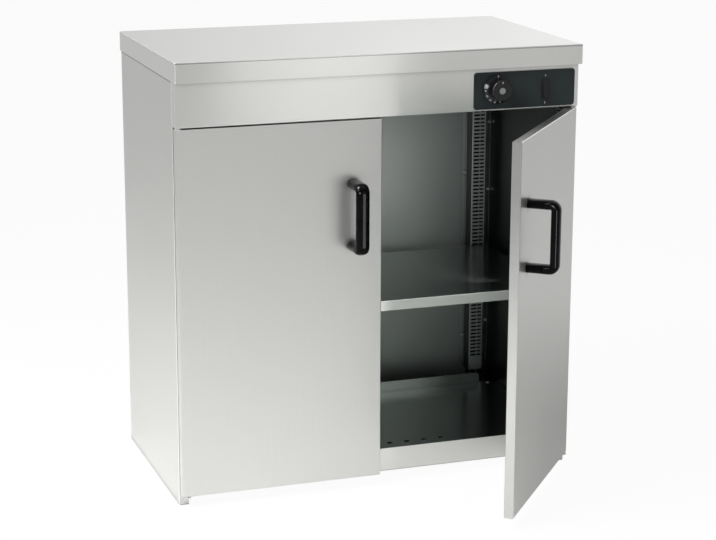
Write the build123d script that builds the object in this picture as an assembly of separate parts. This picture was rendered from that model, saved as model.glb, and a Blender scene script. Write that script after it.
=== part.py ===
from build123d import *
import os

# Plate warmer cabinet, in millimetres. X runs to the right, Y to the wall behind and Z up.
# The origin lies at the floor, midway between the sides, on the back panel's outer face. The
# worktop reaches behind it, so that the cord gland and the rivet heads stay off a wall.

# Overall
cabinet_width = 800.0  # worktop, side to side
cabinet_depth = 450.0  # worktop, front lip to back
cabinet_height = 850.0  # floor to worktop

# Sheet and plate
casing_sheet = 1.0
door_sheet = 1.0
upright_sheet = 1.2
bracket_plate = 2.5
bend_radius = 1.5  # outside of the folds that show
second_bend_share = 0.99  # of the bend radius, where one fold's rounding runs into another's
dome_share = 0.8  # of a low head's height, taken by its rounding
hole_clearance = 0.1  # added to the diameter of a fastener for its hole

# Worktop
worktop_lip = 38.0
lip_return = 12.0
front_overhang = 14.0  # lip in front of the doors and fascia
rear_overhang = 8.0  # lip behind the back panel
stiffener_height = 25.0
stiffener_crown = 30.0
stiffener_flange = 14.0
front_stiffener_setback = 29.0  # fascia front to the stiffener's middle
rear_stiffener_setback = 50.0  # back to the stiffener's middle

# Folded edges of the carcass
front_flange = 18.0  # also the width of each front foot
rear_flange = 8.0
edge_flange = 18.0
back_foot = 18.0  # fold along the back panel's foot
rear_end_clearance = 1.0  # between the side panels' rear flanges and what lies between them

# Fascia and control panel
fascia_height = 83.5  # below the worktop's lip
fascia_side_inset = 0.5
fascia_return = 40.0
panel_width = 208.0
panel_height = 70.5
panel_thickness = 1.5
panel_corner = 6.0
panel_right_margin = 8.5
panel_bottom_margin = 3.5

# Thermostat and its knob
knob_from_panel_left = 47.0
knob_above_panel_bottom = 38.0
knob_projection = 27.5  # off the control panel
knob_gap = 1.5
skirt_diameter = 56.0
skirt_rim = 1.5
skirt_thickness = 5.0  # where its slope meets the drum
drum_diameter = 43.0
drum_front_diameter = 40.0
drum_rounding = 2.0
cap_diameter = 15.0
cap_height = 1.5
cap_recess = 2.0
spindle_diameter = 6.0
spindle_clearance = 0.05  # all round, in the thermostat's neck
spindle_in_knob = 18.0
spindle_in_body = 20.0
neck_diameter = 10.0
neck_length = 3.5  # in front of the fascia's rear face
thermostat_width = 42.0
thermostat_depth = 30.0

# Rocker switch
switch_from_panel_right = 61.3
switch_above_panel_bottom = 33.0
bezel_width = 15.0
bezel_height = 40.0
bezel_thickness = 2.0
bezel_rounding = 1.5
switch_body_width = 12.6
switch_body_height = 37.0
switch_body_depth = 22.0
rocker_width = 9.6
rocker_height = 30.0
rocker_back = 5.0
rocker_shoulder = 2.5
rocker_crest = 2.6  # proud of the bezel at either end, before it tilts
rocker_valley = 0.9  # the same in its middle
rocker_well = 10.0
rocker_tilt = 7.0  # either way
rocker_side_clearance = 0.35
rocker_end_clearance = 0.8
rocker_pin_diameter = 3.0
rocker_pin_clearance = 0.05
rocker_pin_length = 0.7

# Doors
door_floor_gap = 22.0
door_top_gap = 2.5
door_middle_gap = 2.5
door_side_inset = 1.5
door_thickness = 18.0
door_back_gap = 2.0
door_return = 12.0
liner_inset = 1.0
right_door_open = 51.0  # degrees, as stored

# Door hinges
pivot_inset = 6.0  # from a door's outer edge and from its front face
pin_diameter = 6.0
pin_head_diameter = 9.0
pin_head_height = 1.5
pin_in_door = 11.0
pin_clearance = 0.05  # all round, in the bush
bush_diameter = 9.5
bush_flange_diameter = 11.5
bush_flange_thickness = 1.2
bush_length = 13.0
bracket_reach = 5.0  # plate in front of the pivot
upper_bracket_tab = 22.0
lower_bracket_tab = 18.0

# Handles
handle_from_edge = 56.0  # free edge of the door to the handle's middle
handle_below_door_top = 180.0
handle_spacing = 119.0  # screw to screw
handle_projection = 60.0
handle_width = 26.0
handle_thickness = 17.5
handle_section_corner = 8.0
handle_bend = 9.5  # of the middle line
handle_screw_diameter = 5.0
handle_screw_in_arm = 19.0
handle_screw_head = 9.0
handle_screw_head_height = 3.0
backing_width = 30.0
backing_thickness = 2.0
backing_overrun = 14.0  # past each screw

# Door magnets
magnet_length = 60.0
magnet_height = 16.0
magnet_from_edge = 24.0
magnet_above_door_bottom = 16.0
magnet_depth = 5.7
magnet_gap = 0.3  # to the sill, door closed

# Inside
sill_floor_gap = 21.0
sill_height = 46.0
sill_return = 18.0
deck_upstand = 21.5
upstand_to_back = 65.0
upstand_end_gap = 42.0
upstand_corner = 10.0
deck_edge_fold = 15.0
deck_hole_diameter = 12.0
deck_hole_pitch = 36.0
deck_hole_count = 9
deck_hole_setback = 29.0
deck_rail_depth = 20.0
deck_rail_height = 20.0
deck_screw_from_side = 26.0
base_fold = 18.0
ceiling_fold = 15.0

# Slotted uprights
upright_face = 32.0
upright_flange = 10.0
rear_upright_depth = 30.0
front_upright_depth = 12.0
rear_upright_from_side = 37.5  # side panel to the upright's middle
front_upright_setback = 34.0  # front of the carcass to the upright's middle
upright_above_deck = 18.0
upright_top_gap = 2.5
slot_width = 24.0
slot_height = 4.0
slot_pitch = 8.0
first_slot = 33.0  # from the upright's lower end
stud_diameter = 4.0
stud_length = 7.0
stud_spacing = 181.0
first_stud = 72.0
stud_count = 4
nut_width = 7.0
nut_thickness = 3.2
nut_corners = 1.1547  # a hexagon's width over its corners, as a share of that over its flats

# Shelf
shelf_slot = 28  # slot that carries it, counted from the lowest
shelf_lip = 20.0
shelf_lip_return = 8.0
shelf_front_setback = 12.0
shelf_clearance = 2.0  # to the front uprights
shelf_rear_clearance = 4.0
clip_width = 22.0
clip_thickness = 3.0
clip_reach = 14.0
clip_hook_depth = 6.0
clip_hook_drop = 6.0

# Heating
element_diameter = 8.5
element_height = 21.0  # above the base pan
element_span = 660.0
element_spacing = 160.0
element_setback = 230.0  # back panel to the middle of the two runs
element_straight = 1.6  # half of the straight between the hairpin's two bends
element_clip_width = 20.0
element_clip_foot = 14.0
element_clip_sheet = 1.2
element_clip_over = 8.0
element_clip_pitch = 200.0
element_clearance = 0.1
bulb_diameter = 6.0
bulb_length = 70.0
bulb_to_rail = 70.0
capillary_diameter = 2.0
sensor_height = 15.0
loom_diameter = 6.0
tube_bend = 12.0
run_spacing = 16.0  # between the loom and the capillary in the rear right upright
loom_above_ceiling = 24.0
capillary_above_ceiling = 36.0
terminal_length = 48.0
terminal_depth = 20.0
terminal_height = 18.0
terminal_chamfer = 2.0
terminal_to_rail = 10.0
grommet_width = 34.0
grommet_depth = 16.0
grommet_wall = 3.0
grommet_thickness = 4.0
grommet_groove = 1.0

# Cord gland
gland_height = 46.0
gland_from_side = 98.0
gland_bore = 8.5
gland_diameter = 15.0
gland_flange_diameter = 22.0
gland_flange_thickness = 6.0
gland_rounding = 2.0
gland_inside = 18.0
gland_nut_width = 22.0
gland_nut_thickness = 5.0

# Fasteners
rivet_diameter = 4.0
rivet_head_diameter = 8.0
rivet_head_height = 1.2
rivet_tail_diameter = 5.6
rivet_tail_length = 3.0
back_rivet_count = 6
back_rivet_end = 40.0
screw_diameter = 5.0
screw_head_diameter = 9.0
screw_head_height = 3.5
screw_tail = 5.0
deck_screw_diameter = 4.0
deck_screw_head_diameter = 8.0
deck_screw_head_height = 2.4

# Planes that several pieces share
side_face = cabinet_width / 2 - casing_sheet
side_inner = side_face - casing_sheet
back_inner = -casing_sheet
worktop_front = rear_overhang - cabinet_depth
door_front = worktop_front + front_overhang
door_back = door_front + door_thickness
liner_front = door_back - door_sheet
carcass_front = door_back + door_back_gap
flange_rear = carcass_front + casing_sheet
lip_bottom = cabinet_height - worktop_lip
carcass_top = cabinet_height - casing_sheet - stiffener_height
fascia_bottom = lip_bottom - fascia_height
fascia_half = side_face - fascia_side_inset
ceiling_bottom = fascia_bottom + casing_sheet
ceiling_top = ceiling_bottom + casing_sheet
sill_top = sill_floor_gap + sill_height
base_bottom = sill_floor_gap + casing_sheet
base_top = base_bottom + casing_sheet
deck_bottom = sill_top - casing_sheet
upstand_front = -upstand_to_back - casing_sheet
between_flanges = side_inner - rear_flange - rear_end_clearance
inside_flanges = side_face - front_flange - fascia_side_inset

# Control panel
panel_right = fascia_half - panel_right_margin
panel_left = panel_right - panel_width
panel_bottom = fascia_bottom + panel_bottom_margin
panel_front = door_front - panel_thickness
fascia_rear = door_front + casing_sheet
knob_x = panel_left + knob_from_panel_left
knob_z = panel_bottom + knob_above_panel_bottom
switch_x = panel_right - switch_from_panel_right
switch_z = panel_bottom + switch_above_panel_bottom
knob_back = panel_front - knob_gap
knob_face = panel_front - knob_projection

# Doors and hinges
door_inner_edge = door_middle_gap / 2
door_outer_edge = side_face - door_side_inset
door_bottom = door_floor_gap
door_top = fascia_bottom - door_top_gap
pivot_x = door_outer_edge - pivot_inset
pivot_y = door_front + pivot_inset
handle_x = door_inner_edge + handle_from_edge
handle_centre_height = door_top - handle_below_door_top
bracket_inner = side_face - front_flange
bracket_outer = fascia_half - casing_sheet - hole_clearance
lower_plate_top = door_bottom - bush_flange_thickness
lower_plate_bottom = lower_plate_top - bracket_plate

# Uprights and shelf
upright_bottom = sill_top + upright_above_deck
upright_top = ceiling_bottom - upright_top_gap
upright_height = upright_top - upright_bottom
rear_upright_x = side_inner - rear_upright_from_side
rear_upright_face = back_inner - rear_upright_depth
front_upright_y = carcass_front + front_upright_setback
front_upright_face = side_inner - front_upright_depth
slot_count = int((upright_height - first_slot - slot_height / 2) // slot_pitch) + 1
shelf_slot_height = upright_bottom + first_slot + shelf_slot * slot_pitch
shelf_bottom = shelf_slot_height + clip_thickness / 2
shelf_top = shelf_bottom + shelf_lip
shelf_half = front_upright_face - shelf_clearance
shelf_front = carcass_front + shelf_front_setback
shelf_rear = rear_upright_face - shelf_rear_clearance

# Runs inside the rear right upright
loom_x = rear_upright_x - run_spacing / 2
capillary_x = rear_upright_x + run_spacing / 2
run_y = back_inner - rear_upright_depth / 2


def block(x0, x1, y0, y1, z0, z1):
    """A box between two corners."""
    return Pos((x0 + x1) / 2, (y0 + y1) / 2, (z0 + z1) / 2) * Box(x1 - x0, y1 - y0, z1 - z0)


def rod_x(x0, x1, y, z, diameter):
    """A round bar along X."""
    return Pos((x0 + x1) / 2, y, z) * Rot(0, 90, 0) * Cylinder(diameter / 2, x1 - x0)


def rod_y(x, y0, y1, z, diameter):
    """A round bar along Y."""
    return Pos(x, (y0 + y1) / 2, z) * Rot(90, 0, 0) * Cylinder(diameter / 2, y1 - y0)


def rod_z(x, y, z0, z1, diameter):
    """A round bar along Z."""
    return Pos(x, y, (z0 + z1) / 2) * Cylinder(diameter / 2, z1 - z0)


def mirrored(shape):
    """The same piece on the cabinet's left."""
    return mirror(shape, about=Plane.YZ)


def opened(shape):
    """A piece of the closed right door, swung to its stored angle."""
    return Pos(pivot_x, pivot_y, 0) * Rot(0, 0, right_door_open) * Pos(-pivot_x, -pivot_y, 0) * shape


def edge_rounded(shape, axis, index, radius):
    """Rounds the edges round the lowest (0) or highest (-1) face along an axis."""
    return fillet(shape.faces().sort_by(axis)[index].edges(), radius)


# Carcass


def worktop():
    """Flat top with a lip folded down all round, and a narrow return under the front lip."""
    half = cabinet_width / 2
    shell = block(-half, half, worktop_front, rear_overhang, lip_bottom, cabinet_height)
    shell = fillet(shell.edges().filter_by(Axis.Z), bend_radius)
    shell = edge_rounded(shell, Axis.Z, -1, bend_radius * second_bend_share)
    inner = half - casing_sheet
    front = worktop_front + casing_sheet
    rear = rear_overhang - casing_sheet
    shell -= block(-inner, inner, front, rear, lip_bottom, cabinet_height - casing_sheet)
    return shell + block(-inner, inner, front, front + lip_return, lip_bottom, lip_bottom + casing_sheet)


def stiffener(middle_y):
    """Hat channel that runs from side to side under the worktop."""
    half_crown = stiffener_crown / 2
    front, rear = middle_y - half_crown, middle_y + half_crown
    top = cabinet_height - casing_sheet
    foot_top = carcass_top + casing_sheet
    channel = block(-side_inner, side_inner, front, rear, carcass_top, top)
    hollow_front, hollow_rear = front + casing_sheet, rear - casing_sheet
    channel -= block(-side_inner, side_inner, hollow_front, hollow_rear, carcass_top, top - casing_sheet)
    channel += block(-side_inner, side_inner, front - stiffener_flange, front, carcass_top, foot_top)
    channel += block(-side_inner, side_inner, rear, rear + stiffener_flange, carcass_top, foot_top)
    for x, y in worktop_screw_places():
        channel -= rod_z(x, y, carcass_top, foot_top, screw_diameter + hole_clearance)
    return channel


def stiffener_middles():
    """Middle lines of the front, middle and rear stiffeners."""
    front = door_front + front_stiffener_setback
    rear = -rear_stiffener_setback
    return {"front_stiffener": front, "middle_stiffener": (front + rear) / 2, "rear_stiffener": rear}


def worktop_screw_places():
    """One screw through each end of each stiffener's rear flange."""
    reach = (stiffener_crown + stiffener_flange) / 2
    x = side_inner - edge_flange / 2
    return [(side * x, y + reach) for y in stiffener_middles().values() for side in (-1, 1)]


def worktop_screws():
    """Screws that hold the worktop down on the side panels' top flanges."""
    screws = []
    flange_bottom = carcass_top - casing_sheet
    for x, y in worktop_screw_places():
        head = rod_z(x, y, flange_bottom - screw_head_height, flange_bottom, screw_head_diameter)
        shank = rod_z(x, y, flange_bottom, carcass_top + casing_sheet + screw_tail, screw_diameter)
        screws.append(head + shank)
    return screws


def side_panel():
    """Right side panel: one sheet, folded inwards along all four edges. Its front fold is the foot."""
    sheet = block(side_inner, side_face, carcass_front, back_inner, 0, carcass_top)
    front = block(side_face - front_flange, side_face, carcass_front, flange_rear, 0, carcass_top)
    panel = sheet + front
    corner = panel.edges().filter_by(Axis.Z).sort_by(Axis.Y)[:2].sort_by(Axis.X)[-1]
    panel = fillet(corner, bend_radius)
    rear = back_inner - casing_sheet
    panel += block(side_inner - rear_flange, side_inner, rear, back_inner, 0, carcass_top)
    fold = side_inner - edge_flange
    panel += block(fold, side_inner, flange_rear, back_inner, carcass_top - casing_sheet, carcass_top)
    panel += block(fold, side_inner, flange_rear, back_inner, 0, casing_sheet)
    for x, y in worktop_screw_places():
        panel -= rod_z(x, y, carcass_top - casing_sheet, carcass_top, screw_diameter + hole_clearance)
    for z in fascia_rivet_heights():
        panel -= rod_y(fascia_rivet_x(), carcass_front, flange_rear, z, rivet_diameter + hole_clearance)
    for z in back_rivet_heights():
        panel -= rod_y(back_rivet_x(), rear, back_inner, z, rivet_diameter + hole_clearance)
    return panel


def back_rivet_x():
    """Middle of the side panel's rear flange."""
    return side_inner - rear_flange / 2


def back_rivet_heights():
    """Rivets spread evenly up each edge of the back panel."""
    span = lip_bottom - 2 * back_rivet_end
    return [back_rivet_end + span * i / (back_rivet_count - 1) for i in range(back_rivet_count)]


def back_rivets():
    """Blind rivets between the back panel and the side panels."""
    rivets = []
    grip = back_inner - casing_sheet
    for z in back_rivet_heights():
        for x in (-back_rivet_x(), back_rivet_x()):
            rivet = rod_y(x, 0, rivet_head_height, z, rivet_head_diameter)
            rivet = edge_rounded(rivet, Axis.Y, -1, rivet_head_height * dome_share)
            rivet += rod_y(x, grip, 0, z, rivet_diameter)
            rivets.append(rivet + rod_y(x, grip - rivet_tail_length, grip, z, rivet_tail_diameter))
    return rivets


def stud_places():
    """Weld studs on the back panel, two rows behind each rear upright."""
    reach = (upright_face + upright_flange) / 2
    heights = [upright_bottom + first_stud + stud_spacing * i for i in range(stud_count)]
    rows = [side * (rear_upright_x + step) for side in (-1, 1) for step in (-reach, reach)]
    return [(x, z) for x in rows for z in heights if z < upright_top - nut_width]


def back_panel():
    """Back panel with a folded foot, weld studs for the rear uprights and the cord's hole."""
    panel = block(-side_face, side_face, back_inner, 0, 0, carcass_top)
    reach = side_inner - edge_flange - rear_end_clearance
    panel += block(-reach, reach, back_inner - back_foot, back_inner, 0, casing_sheet)
    for x, z in stud_places():
        panel += rod_y(x, back_inner - stud_length, back_inner, z, stud_diameter)
    panel -= rod_y(gland_x(), back_inner, 0, gland_height, gland_diameter + hole_clearance)
    for z in back_rivet_heights():
        for x in (-back_rivet_x(), back_rivet_x()):
            panel -= rod_y(x, back_inner, 0, z, rivet_diameter + hole_clearance)
    return panel


def ceiling_panel():
    """Roof of the warm compartment, folded up at the sides and back, with a hole for the runs."""
    rear = back_inner - casing_sheet
    panel = block(-side_inner, side_inner, flange_rear, rear, ceiling_bottom, ceiling_top)
    wall_top = ceiling_top + ceiling_fold
    inner = side_inner - casing_sheet
    panel += block(inner, side_inner, flange_rear, rear, ceiling_bottom, wall_top)
    panel += block(-side_inner, -inner, flange_rear, rear, ceiling_bottom, wall_top)
    panel += block(-between_flanges, between_flanges, rear, back_inner, ceiling_bottom, wall_top)
    return panel - grommet_hole(ceiling_bottom, ceiling_top)


def grommet_hole(z0, z1):
    """The opening over the rear right upright."""
    half_width = grommet_width / 2 - grommet_groove
    half_depth = grommet_depth / 2 - grommet_groove
    x0, x1 = rear_upright_x - half_width, rear_upright_x + half_width
    return block(x0, x1, run_y - half_depth, run_y + half_depth, z0, z1)


def ceiling_grommet():
    """Rubber edging round the ceiling panel's opening."""
    middle = (ceiling_bottom + ceiling_top) / 2
    z0, z1 = middle - grommet_thickness / 2, middle + grommet_thickness / 2
    x0, x1 = rear_upright_x - grommet_width / 2, rear_upright_x + grommet_width / 2
    y0, y1 = run_y - grommet_depth / 2, run_y + grommet_depth / 2
    ring = fillet(block(x0, x1, y0, y1, z0, z1).edges().filter_by(Axis.Z), grommet_wall)
    wall = grommet_wall
    ring -= block(x0 + wall, x1 - wall, y0 + wall, y1 - wall, z0, z1)
    groove = block(x0, x1, y0, y1, ceiling_bottom, ceiling_top) - grommet_hole(ceiling_bottom, ceiling_top)
    return ring - groove


def front_sill():
    """Channel between the side panels under the doors' opening."""
    rear = flange_rear + casing_sheet
    low = sill_floor_gap
    sill = block(-side_inner, side_inner, flange_rear, rear, low, sill_top)
    return sill + block(-side_inner, side_inner, rear, rear + sill_return, low, low + casing_sheet)


def bottom_deck():
    """Deck over the heating elements, with a row of air holes at the front and a plate stop at the back."""
    front = flange_rear + casing_sheet
    rear = -upstand_to_back
    deck = block(-side_inner, side_inner, front, rear, deck_bottom, sill_top)
    fold = sill_top - deck_edge_fold
    inner = side_inner - casing_sheet
    deck += block(-side_inner, side_inner, front, front + casing_sheet, fold, sill_top)
    deck += block(inner, side_inner, front, rear, fold, sill_top)
    deck += block(-side_inner, -inner, front, rear, fold, sill_top)
    reach = side_inner - upstand_end_gap
    stop = block(-reach, reach, upstand_front, rear, deck_bottom, sill_top + deck_upstand)
    ends = stop.edges().filter_by(Axis.Y).group_by(Axis.Z)[-1]
    deck += fillet(ends, upstand_corner)
    middle = (deck_hole_count - 1) / 2
    for i in range(deck_hole_count):
        x = (i - middle) * deck_hole_pitch
        deck -= rod_z(x, carcass_front + deck_hole_setback, deck_bottom, sill_top, deck_hole_diameter)
    for x, y in deck_screw_places():
        deck -= rod_z(x, y, deck_bottom, sill_top, deck_screw_diameter + hole_clearance)
    return deck


def deck_screw_places():
    """One screw at each rear corner of the deck."""
    x = side_inner - deck_screw_from_side
    y = upstand_front - deck_rail_depth / 2
    return [(-x, y), (x, y)]


def deck_rear_rail():
    """Channel that carries the deck's rear edge."""
    rear = upstand_front
    front = rear - deck_rail_depth
    bottom = deck_bottom - deck_rail_height
    roof = deck_bottom - casing_sheet
    rail = block(-side_inner, side_inner, front, rear, bottom, deck_bottom)
    rail -= block(-side_inner, side_inner, front, rear - casing_sheet, bottom + casing_sheet, roof)
    inner = side_inner - casing_sheet
    notch = deck_bottom - deck_edge_fold
    rail -= block(inner, side_inner, front, rear, notch, deck_bottom)
    rail -= block(-side_inner, -inner, front, rear, notch, deck_bottom)
    for x, y in deck_screw_places():
        rail -= rod_z(x, y, roof, deck_bottom, deck_screw_diameter + hole_clearance)
    return rail


def deck_screws():
    """Pan-head screws that hold the deck on its rear rail."""
    screws = []
    tip = deck_bottom - casing_sheet - screw_tail
    for x, y in deck_screw_places():
        head = rod_z(x, y, sill_top, sill_top + deck_screw_head_height, deck_screw_head_diameter)
        head = edge_rounded(head, Axis.Z, -1, deck_screw_head_height * dome_share)
        screws.append(head + rod_z(x, y, tip, sill_top, deck_screw_diameter))
    return screws


def base_pan():
    """Floor of the heater space, folded up at the sides and back."""
    front = flange_rear + casing_sheet
    rear = back_inner - casing_sheet
    top = base_top + base_fold
    inner = side_inner - casing_sheet
    pan = block(-side_inner, side_inner, front, rear, base_bottom, base_top)
    pan += block(inner, side_inner, front, rear, base_bottom, top)
    pan += block(-side_inner, -inner, front, rear, base_bottom, top)
    pan += block(-between_flanges, between_flanges, rear, back_inner, base_bottom, top)
    nut_room = gland_nut_width * nut_corners + 2 * casing_sheet
    return pan - rod_y(gland_x(), rear, back_inner, gland_height, nut_room)


# Uprights and shelf


def upright(depth):
    """Hat-section upright with a ladder of slots in its face. Its flanges' backs are at y = 0."""
    half = upright_face / 2
    inner = half - upright_sheet
    hat = block(-half, half, -depth, 0, 0, upright_height)
    hat = fillet(hat.edges().filter_by(Axis.Z).group_by(Axis.Y)[0], bend_radius)
    hat -= block(-inner, inner, upright_sheet - depth, 0, 0, upright_height)
    reach = half + upright_flange
    hat += block(-reach, -half, -upright_sheet, 0, 0, upright_height)
    hat += block(half, reach, -upright_sheet, 0, 0, upright_height)
    slots = [Pos(0, -depth + upright_sheet / 2, first_slot + slot_pitch * i) for i in range(slot_count)]
    return hat - [place * Box(slot_width, upright_sheet, slot_height) for place in slots]


def rear_upright():
    """Right-hand rear upright, bolted on the back panel's studs."""
    piece = Pos(rear_upright_x, back_inner, upright_bottom) * upright(rear_upright_depth)
    for x, z in stud_places():
        if x > 0:
            piece -= rod_y(x, back_inner - upright_sheet, back_inner, z, stud_diameter + hole_clearance)
    return piece


def front_upright():
    """Right-hand front upright, welded on the side panel."""
    return Pos(side_inner, front_upright_y, upright_bottom) * Rot(0, 0, -90) * upright(front_upright_depth)


def upright_nuts():
    """Hexagon nuts on the back panel's studs."""
    nuts = []
    rear = back_inner - upright_sheet
    for x, z in stud_places():
        nut = extrude(RegularPolygon(nut_width / 2, 6, major_radius=False), nut_thickness)
        nut -= Cylinder(stud_diameter / 2 + hole_clearance / 2, 2 * nut_thickness)
        nuts.append(Pos(x, rear, z) * Rot(90, 0, 0) * nut)
    return nuts


def shelf():
    """Removable shelf with a lip folded down on all four sides."""
    shell = block(-shelf_half, shelf_half, shelf_front, shelf_rear, shelf_bottom, shelf_top)
    shell = edge_rounded(shell, Axis.Z, -1, bend_radius)
    inner = shelf_half - casing_sheet
    front, rear = shelf_front + casing_sheet, shelf_rear - casing_sheet
    shell -= block(-inner, inner, front, rear, shelf_bottom, shelf_top - casing_sheet)
    fold_top = shelf_bottom + casing_sheet
    return shell + block(-inner, inner, front, front + shelf_lip_return, shelf_bottom, fold_top)


def clip(depth):
    """Shelf clip in a slot of an upright whose face is at y = 0: a tongue in front, a hook behind."""
    half = clip_width / 2
    low, high = -clip_thickness / 2, clip_thickness / 2
    behind = min(clip_hook_depth, depth - 2 * upright_sheet) + upright_sheet
    tongue = block(-half, half, -clip_reach, behind, low, high)
    hook = block(-half, half, upright_sheet + hole_clearance, behind, low - clip_hook_drop, low)
    return tongue + hook


def shelf_clips():
    """The four clips that the shelf stands on."""
    rear = Pos(rear_upright_x, rear_upright_face, shelf_slot_height) * clip(rear_upright_depth)
    front_place = Pos(front_upright_face, front_upright_y, shelf_slot_height)
    front = front_place * Rot(0, 0, -90) * clip(front_upright_depth)
    return [rear, front, mirrored(rear), mirrored(front)]


# Fascia, thermostat and switch


def fascia():
    """Front panel over the doors, folded back at the sides, top and bottom."""
    end = carcass_front - casing_sheet
    panel = block(-fascia_half, fascia_half, door_front, carcass_front, fascia_bottom, carcass_top)
    front_face = panel.faces().sort_by(Axis.Y)[0]
    panel = fillet(front_face.edges().filter_by(Axis.Z), bend_radius)
    lower_edge = panel.edges().filter_by(Axis.X).group_by(Axis.Y)[0].sort_by(Axis.Z)[0]
    panel = fillet(lower_edge, bend_radius * second_bend_share)
    inner = fascia_half - casing_sheet
    panel -= block(-inner, inner, fascia_rear, end, ceiling_bottom, carcass_top - casing_sheet)
    panel -= block(-inside_flanges, inside_flanges, end, carcass_front, fascia_bottom, carcass_top)
    rear = door_front + fascia_return
    panel += block(-inside_flanges, inside_flanges, end, rear, fascia_bottom, ceiling_bottom)
    panel -= rod_y(knob_x, door_front, fascia_rear, knob_z, neck_diameter + hole_clearance)
    panel -= switch_cutout(door_front, fascia_rear)
    for x in (-pivot_x, pivot_x):
        panel -= rod_z(x, pivot_y, fascia_bottom, ceiling_bottom, pin_diameter + hole_clearance)
    for z in fascia_rivet_heights():
        for x in (-fascia_rivet_x(), fascia_rivet_x()):
            panel -= rod_y(x, end, carcass_front, z, rivet_diameter + hole_clearance)
    return panel


def switch_cutout(y0, y1):
    """The rectangular opening that the switch's body fills."""
    half_width = switch_body_width / 2 + hole_clearance
    half_height = switch_body_height / 2 + hole_clearance
    return block(
        switch_x - half_width, switch_x + half_width, y0, y1, switch_z - half_height, switch_z + half_height
    )


def fascia_rivet_x():
    """Middle of the side panel's front flange."""
    return side_face - front_flange / 2


def fascia_rivet_heights():
    """One rivet through the upper hinge bracket, and one near the fascia's top."""
    through_bracket = ceiling_bottom + bracket_plate + (upper_bracket_tab - bracket_plate) / 2
    return [through_bracket, lip_bottom - rivet_head_diameter]


def fascia_rivets():
    """Blind rivets between the fascia and the side panels."""
    rivets = []
    low, high = fascia_rivet_heights()
    end = carcass_front - casing_sheet
    for z, front in ((low, end - bracket_plate), (high, end)):
        for x in (-fascia_rivet_x(), fascia_rivet_x()):
            rivet = rod_y(x, front - rivet_head_height, front, z, rivet_head_diameter)
            rivet += rod_y(x, front, flange_rear, z, rivet_diameter)
            tail_end = flange_rear + rivet_tail_length
            rivets.append(rivet + rod_y(x, flange_rear, tail_end, z, rivet_tail_diameter))
    return rivets


def control_panel():
    """Black plate on the fascia round the knob and the switch."""
    middle_x = (panel_left + panel_right) / 2
    middle_z = panel_bottom + panel_height / 2
    outline = RectangleRounded(panel_width, panel_height, panel_corner)
    plate = Pos(middle_x, door_front, middle_z) * Rot(90, 0, 0) * extrude(outline, panel_thickness)
    plate -= rod_y(knob_x, panel_front, door_front, knob_z, neck_diameter + hole_clearance)
    return plate - switch_cutout(panel_front, door_front)


def thermostat():
    """Thermostat behind the fascia, with a neck through it for the spindle."""
    half = thermostat_width / 2
    rear = fascia_rear + thermostat_depth
    body = block(knob_x - half, knob_x + half, fascia_rear, rear, knob_z - half, knob_z + half)
    body += rod_y(knob_x, fascia_rear - neck_length, fascia_rear, knob_z, neck_diameter)
    bore = spindle_diameter + 2 * spindle_clearance
    return body - rod_y(knob_x, fascia_rear - neck_length, fascia_rear + spindle_in_body, knob_z, bore)


def spindle():
    """The thermostat's spindle."""
    end = fascia_rear + spindle_in_body - 2 * spindle_clearance
    return rod_y(knob_x, knob_back - spindle_in_knob, end, knob_z, spindle_diameter)


def knob():
    """Knob with a sloping skirt and a recess for its cap. Built along +Z, then turned to face front."""
    skirt = Pos(0, 0, skirt_rim / 2) * Cylinder(skirt_diameter / 2, skirt_rim)
    slope = skirt_thickness - skirt_rim
    skirt += Pos(0, 0, skirt_rim + slope / 2) * Cone(skirt_diameter / 2, drum_diameter / 2, slope)
    height = knob_back - knob_face - skirt_thickness
    drum = Cone(drum_diameter / 2, drum_front_diameter / 2, height)
    drum = fillet(drum.faces().sort_by(Axis.Z)[-1].edges(), drum_rounding)
    body = skirt + Pos(0, 0, skirt_thickness + height / 2) * drum
    top = skirt_thickness + height
    body -= Pos(0, 0, top - cap_recess / 2) * Cylinder(cap_diameter / 2 + hole_clearance, cap_recess)
    bore = Cylinder(spindle_diameter / 2 + hole_clearance / 2, spindle_in_knob)
    body -= Pos(0, 0, spindle_in_knob / 2) * bore
    return Pos(knob_x, knob_back, knob_z) * Rot(90, 0, 0) * body


def knob_cap():
    """Light cap in the knob's middle."""
    seat = knob_face + cap_recess
    cap = rod_y(knob_x, seat - cap_height, seat, knob_z, cap_diameter)
    return edge_rounded(cap, Axis.Y, 0, cap_height / 2)


def switch_housing():
    """Snap-in switch body with a bezel, a well for the rocker and bearings for its pins."""
    half_width, half_height = bezel_width / 2, bezel_height / 2
    bezel = block(-half_width, half_width, -bezel_thickness, 0, -half_height, half_height)
    bezel = fillet(bezel.edges().filter_by(Axis.Y), bezel_rounding)
    body_width, body_height = switch_body_width / 2, switch_body_height / 2
    body = bezel + block(-body_width, body_width, 0, switch_body_depth, -body_height, body_height)
    well_width = rocker_width / 2 + rocker_side_clearance
    well_height = rocker_height / 2 + rocker_end_clearance
    body -= block(-well_width, well_width, -bezel_thickness, rocker_well, -well_height, well_height)
    pin_reach = rocker_width / 2 + rocker_side_clearance + rocker_pin_length
    bearing = rod_x(-pin_reach, pin_reach, 0, 0, rocker_pin_diameter + 2 * rocker_pin_clearance)
    return Pos(switch_x, panel_front, switch_z) * (body - bearing)


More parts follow.
